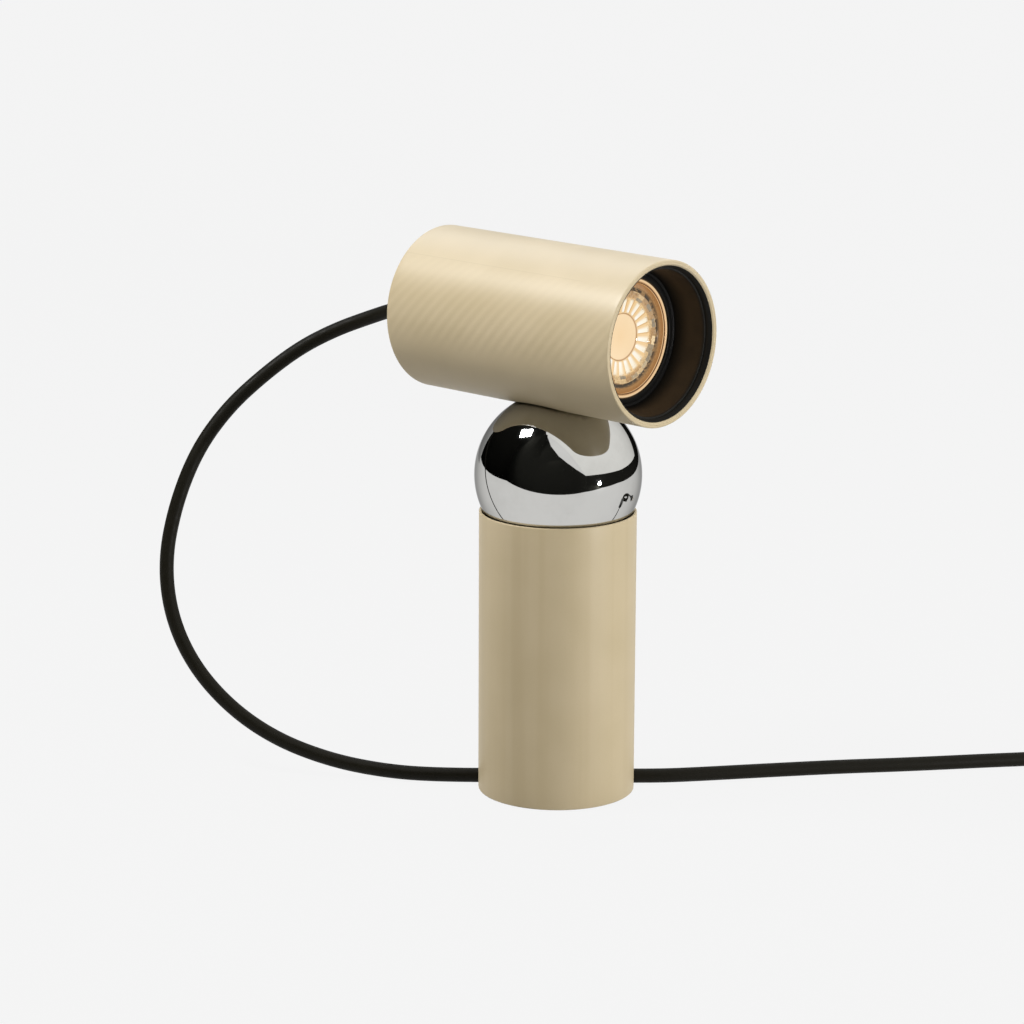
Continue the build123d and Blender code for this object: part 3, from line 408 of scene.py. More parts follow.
def darkTent():
    # black screen between the camera and the lamp, from the table up and over; the camera looks through it
    low, high = [], []
    for bearing, top in zip(tent["bearings"], tent["tops"]):
        a = radians(bearing)
        toSide = tent["aside"] / max(-sin(a), 1e-3) if sin(a) < 0 else tent["longest"]
        reach = min(tent["ahead"] / max(cos(a), 1e-3), toSide)
        low.append((front * cos(a) + side * sin(a)) * reach)
        high.append(aimed(bearing, top, min(tent["highest"], tent["lean"] * reach / cos(radians(top)))))
    return ruled("darkTent", low, high, darkCard)


screen = {"bearings": [37, 60, 85, 110, 125, 137, 150, 163],
          "tops": [8.7, 7.2, 5.0, 2.8, 1.4, 0.4, 14.0, 40.0],
          "bottoms": [-11.4, -8.8, -7.6, -7.4, -7.0, -6.5, -6.0, -6.0],
          "drop": 0.138, "away": 1.35}


def lowScreen():
    # black band under the right-hand panel, down to the table: its foot lies drop below the ball's middle
    low = [aimed(b, e, screen["drop"] / sin(radians(-e))) for b, e in zip(screen["bearings"], screen["bottoms"])]
    high = [aimed(b, t, screen["away"]) for b, t in zip(screen["bearings"], screen["tops"])]
    return ruled("lowScreen", low, high, darkCard)


darkTent()
lowScreen()

panel = {"low": [(-0.196, -0.969, 0.152), (0.30, -0.93, 0.11), (0.72, -0.69, 0.06), (1.0, -0.022, 0.004)],
         "high": [(-0.40, 0.02, 0.90), (-0.10, 0.20, 0.96), (0.22, 0.42, 0.85), (0.512, 0.593, 0.627)],
         "away": 1.3}
panelGlow = Finish("panelGlow", Base_Color=(0, 0, 0), Emission_Color=(1, 1, 0.98), Emission_Strength=1.0)
panelLow, panelHigh = ([ballMiddle + Vector(way) * panel["away"] for way in panel[edge]] for edge in ("low", "high"))
ruled("sidePanel", panelLow, panelHigh, panelGlow)

rearCards = {"bearings": [-141, -150, -160, -172, -184], "away": 1.4,
             "cards": {"rearGrey": {"low": -6, "high": 24, "glow": 0.42},
                       "rearDark": {"low": 24, "high": 62, "glow": 0.16}}}
for name, card in rearCards["cards"].items():
    greyGlow = Finish(name, Base_Color=(0, 0, 0), Emission_Color=(1, 1, 1), Emission_Strength=card["glow"])
    low, high = ([aimed(b, card[edge], rearCards["away"]) for b in rearCards["bearings"]] for edge in ("low", "high"))
    ruled(name, low, high, greyGlow)

# bearing, rise and spin in degrees, away and size in metres, power in watts
lamps = {"keyBox": {"bearing": -82.7, "rise": 53.1, "away": 1.0, "size": (0.25, 0.17), "spin": 45, "power": 6.2,
                    "tone": (1, 1, 1), "mirrored": True},
         "lowSpark": {"bearing": 56.0, "rise": -3.3, "away": 0.88, "size": (0.055, 0.055), "spin": 0, "power": 3.4,
                      "tone": (1, 1, 1), "mirrored": True},
         "leftFill": {"bearing": -92.0, "rise": 4.0, "away": 0.95, "size": (0.3, 0.3), "spin": 0, "power": 2.3,
                      "tone": (1, 0.99, 0.96), "mirrored": False},
         "frontFill": {"bearing": -6.0, "rise": 38.0, "away": 0.65, "size": (0.2, 0.2), "spin": 0, "power": 0.85,
                       "tone": (1, 0.985, 0.95), "mirrored": False},
         "rearTop": {"bearing": -165.0, "rise": 45.0, "away": 1.2, "size": (0.9, 0.5), "spin": 0, "power": 2.4,
                     "tone": (0.82, 0.93, 1.15), "mirrored": True}}
for name, lamp in lamps.items():
    data = bpy.data.lights.new(name, "AREA")
    data.shape, (data.size, data.size_y), data.energy = "RECTANGLE", lamp["size"], lamp["power"]
    data.color = lamp["tone"]
    light = bpy.data.objects.new(name, data)
    light.location = aimed(lamp["bearing"], lamp["rise"], lamp["away"])
    aim = (ballMiddle - light.location).to_track_quat("-Z", "Y") @ Quaternion((0, 0, 1), radians(lamp["spin"]))
    light.rotation_euler = aim.to_euler()
    light.visible_camera = False
    light.visible_glossy = lamp["mirrored"]
    scene.collection.objects.link(light)
print("camera, floor and lights made")


# finishes

headForm = {"high": 0.20575, "radius": 35.35 * mm}
paintForm = {"peel": 0.9 * mm, "peelDeep": 0.012 * mm, "fleck": 0.35 * mm, "fleckDeep": 0.004 * mm,
             "fleckShare": 0.3, "cloud": 28 * mm,
             "paintedReflectionBand": 7 * mm, "paintedReflectionShare": 0.3, "baseBelow": (0.128, 0.132),
             "headAbove": (0.16, 0.165), "headSheen": (0.200, 0.236),
             "line": 48.8, "lineShare": 0.25, "lineBehind": (-0.035, -0.03),  # the line's angle is in degrees
             "ripple": 6.7 * mm, "slant": 1.18, "rippleDeep": 0.026 * mm, "paintedRippleShade": 0.13, "ripplesEnd": -22.0}


def sandPaint():
    # powder coat: fine orange peel and a light fleck; slanting ripples under a faint line on the head, darkened in
    # colour as painted shade where light grazes them; soft upright bands of painted reflection darken the base
    f = paintForm
    made = Finish("sandPaint", IOR=1.5)
    made.shader.inputs["Specular IOR Level"].default_value = 0.4
    made.shader.inputs["Coat Roughness"].default_value = 0.42
    peel, fleck, cloud = made.noise(f["peel"], 2.0), made.noise(f["fleck"], 1.0), made.noise(f["cloud"], 2.0)
    x, y, z = made.parts(made.here())
    shade = made.mix(made.ease(cloud, 0.3, 0.7), tint(201, 184, 149), tint(206, 189, 155))
    shade = made.mix(made.ease(fleck, 0.62, 0.78) * f["fleckShare"], shade, tint(186, 168, 132))
    # painted reflection: soft upright darker bands on the base stand in for reflected studio edges
    paintedReflectionBand = made.noise(f["paintedReflectionBand"], 2.0, 0.5, made.stretched(made.here(), (1, 1, 0.02)))
    onBase = made.ease(z, *f["baseBelow"], 1.0, 0.0)
    shade = made.mix(made.ease(paintedReflectionBand, 0.45, 0.7) * onBase * f["paintedReflectionShare"], shade, tint(192, 173, 135))
    onHead = made.ease(z, *f["headAbove"])
    turn = made.maths("ARCTAN2", z - headForm["high"], x * -1.0)
    low, high = radians(f["ripplesEnd"]), radians(f["line"])
    wave = made.maths("SINE", (turn * headForm["radius"] + y * f["slant"]) * (2 * pi / f["ripple"]))
    zone = made.ease(turn, low, low + 0.35) * made.ease(turn, high - 0.012, high, 1.0, 0.0) * onHead
    zone = zone * made.ease(turn, high - 0.6, high - 0.15, 1.0, 0.35)
    seam = made.band(turn, high, 0.002, 0.006) * onHead * made.ease(y, *f["lineBehind"])
    shade = made.mix(seam * f["lineShare"], shade, tint(176, 158, 122))
    # painted shade: the ripples darken the colour across the band where light grazes the head, fading towards the
    # faint line
    shade = made.mix(made.ease(wave, -1.0, 1.0) * zone * f["paintedRippleShade"], shade, tint(170, 150, 114))
    bumps = made.bump(peel, f["peelDeep"], made.bump(wave * zone, f["rippleDeep"]))
    return made.put(Base_Color=shade, Roughness=made.ease(cloud, 0.3, 0.7, 0.44, 0.50),
                    Coat_Weight=made.ease(z, *f["headSheen"], 0.0, 0.9),
                    Normal=made.bump(fleck, f["fleckDeep"], bumps))


def chromePlate():
    # bright chrome on polished steel, with a trace of haze and dust
    made = Finish("chromePlate", Metallic=1.0, Specular_Tint=(0.4, 0.4, 0.4))
    haze = made.noise(14 * mm, 3.0, 0.6)
    dust = made.noise(0.5 * mm, 1.0)
    shade = made.mix(made.ease(haze, 0.4, 0.75), (0.615, 0.61, 0.59), (0.575, 0.57, 0.55))
    rough = made.ease(haze, 0.35, 0.8, 0.015, 0.05) + made.ease(dust, 0.7, 0.85, 0.0, 0.10)
    return made.put(Base_Color=shade, Roughness=rough)


def mouldedPlastic(name, low, high, rough, grain=0.25, deep=0.006):
    # moulded plastic with a spark-eroded grain
    made = Finish(name, IOR=1.5)
    fine = made.noise(grain * mm, 2.0)
    cloud = made.noise(12 * mm, 2.0)
    return made.put(Base_Color=made.mix(made.ease(cloud, 0.3, 0.7), low, high),
                    Roughness=made.ease(fine, 0.3, 0.7, rough - 0.05, rough + 0.06),
                    Normal=made.bump(fine, deep * mm))


def cordSheath():
    # drawn sheath: faint lengthwise waviness, a soft sheen and a little dust
    made = Finish("cordSheath", IOR=1.5)
    wave = made.noise(3.2 * mm, 2.0)
    dust = made.noise(0.6 * mm, 1.0)
    made.shader.inputs["Specular IOR Level"].default_value = 0.12
    shade = made.mix(made.ease(dust, 0.64, 0.8) * 0.4, tint(24, 22, 15), tint(40, 37, 29))
    return made.put(Base_Color=shade, Roughness=made.ease(wave, 0.3, 0.7, 0.46, 0.58),
                    Normal=made.bump(wave, 0.03 * mm))


def plainMetal(name, low, high, rough, line=(1, 1, 1)):
    # turned, drawn or plated metal: fine scratches, stretched along one way
    made = Finish(name, Metallic=1.0)
    scratch = made.noise(0.5 * mm, 3.0, 0.6, made.stretched(made.here(), line))
    cloud = made.noise(6 * mm, 2.0)
    return made.put(Base_Color=made.mix(made.ease(cloud, 0.3, 0.7), low, high),
                    Roughness=made.ease(scratch, 0.3, 0.7, rough - 0.08, rough + 0.08),
                    Normal=made.bump(scratch, 0.004 * mm))


def castIron():
    # cast weight under black stove paint
    made = Finish("castIron", IOR=1.5)
    lump = made.noise(2.2 * mm, 4.0, 0.6)
    return made.put(Base_Color=made.mix(made.ease(lump, 0.35, 0.7), tint(38, 38, 40), tint(62, 61, 60)),
                    Roughness=made.ease(lump, 0.3, 0.7, 0.5, 0.7), Normal=made.bump(lump, 0.12 * mm))


def footFoam():
    # dense foam rubber with a fine open skin
    made = Finish("footFoam", IOR=1.45)
    cell = made.node("ShaderNodeTexVoronoi", inputs={"Vector": made.here(), "Scale": 1 / (0.7 * mm)})
    shade = made.mix(made.ease(cell, 0.1, 0.6), tint(30, 30, 31), tint(52, 51, 50))
    return made.put(Base_Color=shade, Roughness=made.ease(cell, 0.1, 0.6, 0.75, 0.92),
                    Normal=made.bump(cell, 0.05 * mm))


def glazedCeramic():
    # white steatite with fine pits
    made = Finish("ceramic", IOR=1.5)
    pit = made.noise(0.8 * mm, 3.0)
    return made.put(Base_Color=made.mix(made.ease(pit, 0.3, 0.75), tint(236, 232, 222), tint(219, 213, 200)),
                    Roughness=made.ease(pit, 0.3, 0.7, 0.45, 0.62), Normal=made.bump(pit, 0.02 * mm))


def wireSleeve():
    # heat-proof braided sleeving, white
    made = Finish("wireSleeve", IOR=1.5)
    braid = made.noise(0.35 * mm, 2.0)
    return made.put(Base_Color=made.mix(made.ease(braid, 0.3, 0.7), tint(226, 224, 216), tint(205, 202, 192)),
                    Roughness=made.ease(braid, 0.3, 0.7, 0.6, 0.75), Normal=made.bump(braid, 0.05 * mm))


def wovenTie():
    # hook-and-loop band: crossing rows of fine loops
    made = Finish("wovenTie", IOR=1.45)
    u, v, _ = made.parts(made.wrap())
    perMetre = 2 * pi / (0.8 * mm)
    weave = made.maths("SINE", u * perMetre) * made.maths("SINE", v * perMetre) * 0.5 + 0.5
    return made.put(Base_Color=made.mix(weave, tint(26, 26, 27), tint(48, 47, 46)),
                    Roughness=made.ease(weave, 0.0, 1.0, 0.92, 0.72), Normal=made.bump(weave, 0.15 * mm))


def linerPlastic():
    # moulded black inside the mouth: grey at the front, a painted warm glow where the bulb lights it, black beside
    # the bulb
    made = Finish("linerBlack", IOR=1.5)
    made.shader.inputs["Specular IOR Level"].default_value = 0.14
    depth = made.parts(made.here())[1]
    fine = made.noise(0.3 * mm, 2.0)
    cloud = made.noise(9 * mm, 2.0)
    # painted light: the wall between the front band and the bulb is tinted warm brown as if lit by the bulb
    front = made.mix(made.ease(depth, -0.0545, -0.0525), tint(31, 31, 29), tint(55, 44, 31))
    shade = made.mix(made.ease(depth, -0.0480, -0.0410), front, tint(9, 8, 7))
    shade = made.mix(made.ease(cloud, 0.35, 0.7) * 0.3, shade, tint(20, 18, 15))
    return made.put(Base_Color=shade, Roughness=made.ease(fine, 0.3, 0.7, 0.40, 0.50),
                    Normal=made.bump(fine, 0.008 * mm))


# the bulb's front: relief rows are radius, place along the head, kind of relief and its height, in mm; the lit rings
# are radius in mm and colour
optic = {"ribs": 22, "stepsPerRib": 9, "blocks": 39, "cells": 31, "cellRings": 0.62, "reach": 25,
         "rows": [(0.2, -34.5, "flat", 0), (5.0, -34.5, "flat", 0), (9.7, -34.5, "flat", 0), (10.1, -34.7, "flat", 0),
                  (10.5, -34.8, "ribs", 0.35), (12.5, -35.1, "ribs", 0.5), (14.5, -35.5, "ribs", 0.55),
                  (16.4, -35.9, "ribs", 0.5), (16.7, -36.1, "flat", 0), (16.8, -36.3, "blocks", 0.4),
                  (18.0, -36.5, "blocks", 0.4), (18.1, -36.5, "flat", 0), (18.2, -36.6, "between", 0.4),
                  (19.6, -36.8, "between", 0.4), (19.7, -36.8, "flat", 0), (20.2, -36.3, "flat", 0),
                  (21.2, -36.3, "flat", 0), (21.5, -37.5, "flat", 0), (23.2, -37.7, "flat", 0),
                  (23.4, -37.4, "flat", 0), (23.4, -36.1, "flat", 0), (21.0, -36.0, "flat", 0),
                  (16.0, -35.2, "flat", 0), (10.0, -34.1, "flat", 0), (0.2, -34.0, "flat", 0)],
         "rings": [(0, (244, 212, 166)), (9.5, (247, 219, 178)), (10.0, (172, 122, 72)), (10.5, (243, 222, 184)),
                   (11.0, (250, 246, 236)), (15.6, (250, 240, 216)), (16.7, (205, 168, 118)),
                   (17.2, (186, 150, 108)), (19.5, (168, 136, 98)), (20.1, (66, 60, 52)), (21.2, (74, 66, 56)),
                   (21.6, (167, 124, 77)), (23.2, (158, 112, 66)), (25, (120, 84, 50))]}


def bulbGlow():
    # pressed glass over a lit reflector, by distance from the axis: warm disc, bright ribs, tan blocks, dark seam
    # and brown ring
    made = Finish("bulbGlow", Base_Color=(0.02, 0.016, 0.012), Roughness=0.12, IOR=1.5, Emission_Strength=1.0)
    x, y, z = made.parts(made.here())
    high = z - headForm["high"]
    reach = (x * x + high * high) ** 0.5 * (1 / mm)
    turn = made.maths("ARCTAN2", high, x) * (0.5 / pi) + 0.5
    stops = [(place / optic["reach"], tint(*shade)) for place, shade in optic["rings"]]
    glow = made.node("ShaderNodeValToRGB", {"stops": stops}, {0: reach * (1 / optic["reach"])})
    part = made.maths("FRACT", turn * float(optic["ribs"]))
    ribs = made.band(reach, 13.4, 3.0, 0.3)
    glow = made.mix(ribs * made.ease(part, 0.3, 0.75), glow, tint(238, 203, 150))
    glow = made.mix(ribs * made.band(part, 0.97, 0.02, 0.05) * 0.6, glow, tint(206, 162, 108))
    cell = made.node("ShaderNodeCombineXYZ", inputs={0: made.maths("FLOOR", turn * float(optic["cells"])),
                                                     1: made.maths("FLOOR", reach * optic["cellRings"])})
    chance = made.node("ShaderNodeTexWhiteNoise", {"noise_dimensions": "2D"}, {"Vector": cell})
    blocks = made.band(reach, 18.1, 1.45, 0.3)
    blockTones = ((0.45, 0.6, (214, 184, 138)), (0.7, 0.8, (150, 138, 118)), (0.88, 0.93, (240, 214, 170)))
    for start, end, shade in blockTones:
        glow = made.mix(blocks * made.ease(chance, start, end), glow, tint(*shade))
    gap = made.noise(2.6 * mm, 2.0)
    glow = made.mix(made.band(reach, 20.7, 0.5, 0.5) * made.ease(gap, 0.5, 0.62), glow, tint(150, 120, 84))
    speck = made.noise(0.7 * mm, 2.0)
    glow = made.mix(made.ease(speck, 0.5, 0.75) * 0.45 * made.band(reach, 19.5, 4.0, 1.0), glow, tint(112, 80, 48))
    return made.put(Emission_Color=glow)


# place across the rim, from its inner wall's depth to its outer edge, and colour of the painted bulb light there
paintedRimLight = [(0, (150, 104, 58)), (0.10, (158, 112, 66)), (0.17, (246, 212, 164)), (0.26, (236, 196, 144)),
            (0.32, (70, 42, 22)), (0.50, (84, 52, 28)), (0.58, (230, 188, 138)), (0.90, (244, 212, 168)),
            (1, (130, 92, 58))]


def rimGlow():
    # copper-coloured rim with painted light: its emission glows in bright, brown and peach lines, standing in for the
    # bulb lighting it from inside
    made = Finish("rimGlow", Metallic=1.0, Emission_Strength=0.92)
    x, y, z = made.parts(made.here())
    high = z - headForm["high"]
    reach = (x * x + high * high) ** 0.5 * (1 / mm)
    inner = made.ease(y, -0.0388, -0.0375, 1.3, 0.0)
    # painted light: these lines are emitted, though the rim is no lamp
    stops = [(place, tint(*shade)) for place, shade in paintedRimLight]
    glow = made.node("ShaderNodeValToRGB", {"stops": stops}, {0: (reach - 23.5 + inner) * (1 / 3.1)})
    fine = made.noise(0.6 * mm, 2.0)
    shade = made.mix(made.ease(fine, 0.3, 0.7), (0.10, 0.06, 0.035), (0.14, 0.085, 0.05))
    return made.put(Emission_Color=glow, Base_Color=shade, Roughness=made.ease(fine, 0.3, 0.7, 0.26, 0.34))


lead = {"switch": (209.36 * mm, -167.48 * mm), "switchWay": (0.77901, -0.62701), "plugWay": (-0.0995, 0.9950)}


def rockerPlastic():
    # smooth black with the on bar and the off ring printed in white
    made = Finish("rockerBlack", IOR=1.5)
    middle, way = Vector(lead["switch"]), Vector(lead["switchWay"])
    far = made.along((*way, 0)) - float(middle @ way)
    wide = made.along((-way.y, way.x, 0)) - float(middle.y * way.x - middle.x * way.y)
    bar = made.band(wide, 0.0, 0.35 * mm, 0.1 * mm) * made.band(far, 5.6 * mm, 1.5 * mm, 0.1 * mm)
    ring = ((far + 5.6 * mm) ** 2.0 + wide ** 2.0) ** 0.5
    marks = bar + made.band(ring, 1.5 * mm, 0.28 * mm, 0.1 * mm)
    fine = made.noise(0.4 * mm, 2.0)
    shade = made.mix(made.ease(fine, 0.3, 0.7), tint(20, 20, 21), tint(27, 27, 28))
    return made.put(Base_Color=made.mix(marks, shade, tint(214, 214, 210)), Normal=made.bump(fine, 0.002 * mm),
                    Roughness=made.ease(fine, 0.3, 0.7, 0.22, 0.32))


def plugPlastic():
    # moulded black with grip ribs across the rear half of the plug
    made = Finish("plugBlack", IOR=1.5)
    far = made.along((*lead["plugWay"], 0))
    grip = made.band(far, -0.1182, 0.0055, 0.0008)
    ribs = made.ease(made.maths("SINE", far * (2 * pi / (1.8 * mm))), -0.3, 0.4) * grip
    fine = made.noise(0.3 * mm, 2.0)
    shade = made.mix(made.ease(fine, 0.3, 0.7), tint(24, 24, 25), tint(33, 33, 33))
    return made.put(Base_Color=shade, Roughness=made.ease(fine, 0.3, 0.7, 0.40, 0.52),
                    Normal=made.bump(ribs, 0.35 * mm, made.bump(fine, 0.006 * mm)))


paint = sandPaint()
chrome = chromePlate()
sheath = cordSheath()
linerBlack = linerPlastic()
blackPlastic = mouldedPlastic("blackPlastic", tint(27, 27, 28), tint(34, 34, 35), 0.38)
softBlack = mouldedPlastic("softBlack", tint(22, 22, 23), tint(30, 30, 30), 0.52, 0.5, 0.01)
rockerBlack, plugBlack = rockerPlastic(), plugPlastic()
glideWhite = mouldedPlastic("glideWhite", tint(228, 228, 224), tint(216, 216, 211), 0.38)
steel = plainMetal("steel", (0.50, 0.50, 0.50), (0.60, 0.59, 0.58), 0.34, (1, 1, 0.2))
plated = plainMetal("plated", (0.62, 0.60, 0.56), (0.70, 0.68, 0.64), 0.22)
brass = plainMetal("brass", (0.70, 0.52, 0.26), (0.78, 0.60, 0.32), 0.26)
reflectorMetal = plainMetal("reflectorMetal", (0.66, 0.66, 0.66), (0.74, 0.74, 0.73), 0.2)
copper, glowGlass = rimGlow(), bulbGlow()
iron, foam, ceramic, cores, weaveTie = castIron(), footFoam(), glazedCeramic(), wireSleeve(), wovenTie()
slotFinish = {"sand_paint": paint, "chrome": chrome, "black_liner": linerBlack, "black_plastic": blackPlastic,
              "black_cord": sheath, "pads": foam, "iron": iron, "magnet": plated, "steel": steel, "glide": glideWhite,
              "copper_rim": copper, "lens": glowGlass, "reflector": reflectorMetal, "capsule": ceramic,
              "ceramic": ceramic, "brass": brass, "wire": cores, "tie": weaveTie}
for node in nodes.values():
    known = [s for s in node.material_slots if s.material and s.material.name.split(".")[0] in slotFinish]
    for s in known:
        s.material = slotFinish[s.material.name.split(".")[0]].material
    if not known:
        print("no finish for", node.name, [s.material and s.material.name for s in node.material_slots])
for name, finish in {"switch_rocker": rockerBlack, "plug_body": plugBlack, "plug_relief": softBlack}.items():
    nodes[name].material_slots[0].material = finish.material
print("finishes made")


# cords: the loop behind the lamp, in three lengths between the joints, and the mains lead

cordSize = {"diameter": 6.3 * mm, "sides": 28}
headRoute = np.array([
    (0, 84, 203), (0, 96.5, 200.5), (-3, 110.5, 195), (-10.5, 123.5, 189), (-22, 134.5, 181), (-36, 143.5, 169.5),
    (-51, 151.5, 155.5), (-65, 157, 137.5), (-76, 159.5, 114.5), (-84.5, 158, 90.5), (-88, 151, 67.5),
    (-86, 139.5, 46.5), (-79, 123.5, 28.5), (-69, 105, 15.5), (-56.5, 84, 7.5), (-44, 63.5, 4.0),
    (-31.02, 44.51, 3.15), (-17.29, 29.42, 3.15)]) * mm
headLine = readLine(headRoute, 24)
seams = [np.array(p) * mm for p in [(-58, 154.25, 146.5), (-74, 114.25, 22.0)]]


def splitAt(line, seam):
    # the seam lies on the line: it is put between the two points beside it
    k = int(np.linalg.norm(line - seam, axis=1).argmin())
    ahead = (line[k + 1] - line[k - 1]) @ (seam - line[k]) > 0
    upTo = k + 1 if ahead else k
    return np.vstack([line[:upTo], seam]), np.vstack([seam, line[upTo:]])


topLine, rest = splitAt(headLine, seams[0])
middleLine, bottomLine = splitAt(rest, seams[1])
lean = np.array([0.80, 0.55, 0.10])
wholeRings = squareRings(np.vstack([topLine, middleLine[1:], bottomLine[1:]]), cordSize["diameter"] / 2, lean,
                         cordSize["sides"])
cutOne, cutTwo = len(topLine), len(topLine) + len(middleLine) - 1
lengths = {"headCordTop": (topLine, wholeRings[:cutOne], "head", "ball", "head_cord_top"),
           "headCordMiddle": (middleLine, wholeRings[cutOne - 1:cutTwo], "ball", "glide", "head_cord_middle"),
           "headCordBottom": (bottomLine, wholeRings[cutTwo - 1:], "glide", "base", "head_cord_bottom")}
for name, (line, rings, upper, lower, node) in lengths.items():
    piece = surface(name, rings, sheath, sharp=60)
    way = line[-1] - line[0]
    way /= np.linalg.norm(way)
    reach = [(ring - line[0]) @ way for ring in (rings[0], rings[-1])]  # how far the end rings lean along the way
    line[0] + way * (reach[0].max() + 1e-5)
    line[0] + way * (reach[1].min() - 1e-5)
    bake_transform(piece)
    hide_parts(node)
    "hanging" if name != "headCordBottom" else "loose"
    print(name, "length", round(lengthOf(line), 4))

coil = {"middle": (289.3, -176.5), "outer": 43.1, "inner": 26.75, "turns": 2.5, "low": 3.15, "high": 9.65,
        "startAngle": 231.2, "riseAngle": 128.8, "perTurn": 16,
        "inside": 0.9808,  # the spline runs this much inside its control points at 16 to a turn
        "tieAngle": 120.0, "tieLift": 1.25, "tieFrom": 0.72, "tieFade": 0.24}


def coilTurns():
    # angle goes up evenly; radius falls over the lower turns, waits while the lead rises, and grows over the upper
    # turns; height follows 3 t^2 - 2 t^3 over the rise, and lifts where the tie passes under
    turnsDown = coil["turns"] * 360
    whole = 2 * turnsDown + coil["riseAngle"]
    angle = np.linspace(0, whole, int(round(whole / 360 * coil["perTurn"])) + 1)
    inward = np.clip(angle / turnsDown, 0, 1)
    outward = np.clip((angle - turnsDown - coil["riseAngle"]) / turnsDown, 0, 1)
    rise = np.clip((angle - turnsDown) / coil["riseAngle"], 0, 1)
    radius = coil["outer"] + (coil["inner"] - coil["outer"]) * (inward - outward)
    height = coil["low"] + (coil["high"] - coil["low"]) * rise * rise * (3 - 2 * rise)
    turned = np.radians(angle + coil["startAngle"])
    nearTie = np.cos(turned - radians(coil["tieAngle"]))
    height = height + coil["tieLift"] * np.clip((nearTie - coil["tieFrom"]) / coil["tieFade"], 0, 1)
    radius = radius / coil["inside"]
    return np.stack([coil["middle"][0] + radius * np.cos(turned), coil["middle"][1] + radius * np.sin(turned),
                     height], -1)


leadOut = [(27.65, -20.0, 3.15), (35.72, -28.88, 3.15), (48.6, -39.4, 3.15), (71.0, -56.3, 3.15),
           (99.5, -78.2, 3.15), (121.4, -97.0, 3.15), (140.6, -112.3, 3.15), (151.7, -121.0, 3.15),
           (172.7, -138.3, 3.15), (179.7, -143.6, 4.6), (193.0, -154.3, 4.6)]
leadLink = [(229.6, -183.8, 4.6), (240.9, -192.8, 4.6), (251.2, -201.3, 3.15)]
leadTail = [(332.3, -162.6, 9.3), (331.4, -147.6, 7.6), (330.0, -132.6, 6.9), (328.7, -119.6, 6.9)]
mainsRoute = np.vstack([leadOut, leadLink, coilTurns(), leadTail]) * mm
mainsCurve = smoothLine(mainsRoute, 10)
mainsCurve.bevel_depth = cordSize["diameter"] / 2
mainsCurve.bevel_resolution = 5
mainsCurve.use_fill_caps = True
mainsCurve.materials.append(sheath.material)
mainsCord = bpy.data.objects.new("mainsCord", mainsCurve)
scene.collection.objects.link(mainsCord)
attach(mainsCord, "base")
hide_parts("mains_lead", "coil_link", "lead_coil", "plug_tail")
mainsLength = lengthOf(readLine(mainsRoute, 10))
print("mains lead length", round(mainsLength, 4))


# tie round the coil

tie = {"inner": 23.0, "outer": 47.0, "low": 0.05, "top": 15.1, "thick": 1.0, "wide": 12.0, "footRound": 1.4,
       "topRound": 5.5}


def coilTie():
    # a band of even thickness: an outline round the coil's section, swept across its width
    inside, outside, low, top = (tie[k] for k in ("inner", "outer", "low", "top"))
    footRound, topRound = tie["footRound"], tie["topRound"]
    path = rounded([(inside, low, footRound), (outside, low, footRound), (outside, top, topRound),
                    (inside, top, topRound)], 8)
    thick = tie["thick"] * mm
    way = np.roll(path, -1, 0) - np.roll(path, 1, 0)
    way /= np.linalg.norm(way, axis=1)[:, None]
    inward = np.stack([-way[:, 1], way[:, 0]], -1)
    inner = path + inward * thick
    wide = tie["wide"] * mm / 2
    shape = [(path, -wide), (path, wide), (inner, wide), (inner, -wide)]
    out = np.array([cos(radians(coil["tieAngle"])), sin(radians(coil["tieAngle"])), 0])
    along = np.array([-out[1], out[0], 0])
    middle = np.array([*coil["middle"], 0]) * mm
    grid = np.stack([middle + line[:, :1] * out + line[:, 1:] * np.array([0, 0, 1]) + shift * along
                     for line, shift in shape], 1)
    return surface("coilTie", grid, weaveTie, loop=True, sharp=40)


tieBand = coilTie()
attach(tieBand, "base")
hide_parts("coil_tie")
print("cords made")


# base tube with the lead's two notches, and the ball

headAxis = ((0, 0, 205.75 * mm), (1, 0, 0), (0, 0, 1), (0, 1, 0))
baseAxis = ((0, 0, 0), (1, 0, 0), (0, 1, 0), (0, 0, 1))
base = {"outer": 34.0, "bore": 32.8, "low": 0.5, "top": 125.2, "round": 0.45,
        "leadHeading": -47.715, "leadSide": 7.0, "notch": 3.65, "notchHigh": 3.15}


def longRuns(outline, step=4 * mm):
    # extra points on straight runs longer than a step, so that cuts and shading stay even
    made = []
    for a, b in zip(outline, np.roll(outline, -1, 0)):
        n = max(1, int(np.ceil(np.linalg.norm(b - a) / step)))
        made.append(a + (b - a) * np.linspace(0, 1, n, endpoint=False)[:, None])
    return np.vstack(made)


def baseShell():
    r, b, low, top, edge = (base[k] for k in ("outer", "bore", "low", "top", "round"))
    outline = rounded([(low, b, edge), (low, r, edge), (top, r, edge), (top, b, edge)], 6)
    piece = lathe("baseShell", longRuns(outline, 8 * mm), baseAxis, 288, paint)
    way = np.array([cos(radians(base["leadHeading"])), sin(radians(base["leadHeading"])), 0])
    across = np.array([-way[1], way[0], 0])
    t = np.linspace(0, pi, 17)
    size = base["notch"]
    arch = np.vstack([np.stack([size * np.cos(t), base["notchHigh"] + size * np.sin(t)], -1),
                      [(-size, -3.0), (size, -3.0)]]) * mm
    reach = np.array([-40, 40]) * mm
    grid = (across * base["leadSide"] * mm + reach[:, None, None] * way + arch[None, :, :1] * across
            + arch[None, :, 1:] * np.array([0, 0, 1]))
    return cut(piece, surface("notch", grid, paint))


baseTube = baseShell()
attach(baseTube, "base")
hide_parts("base_tube")

ballSize = {"radius": 36.1, "high": 140.95, "rings": 120, "steps": 240}


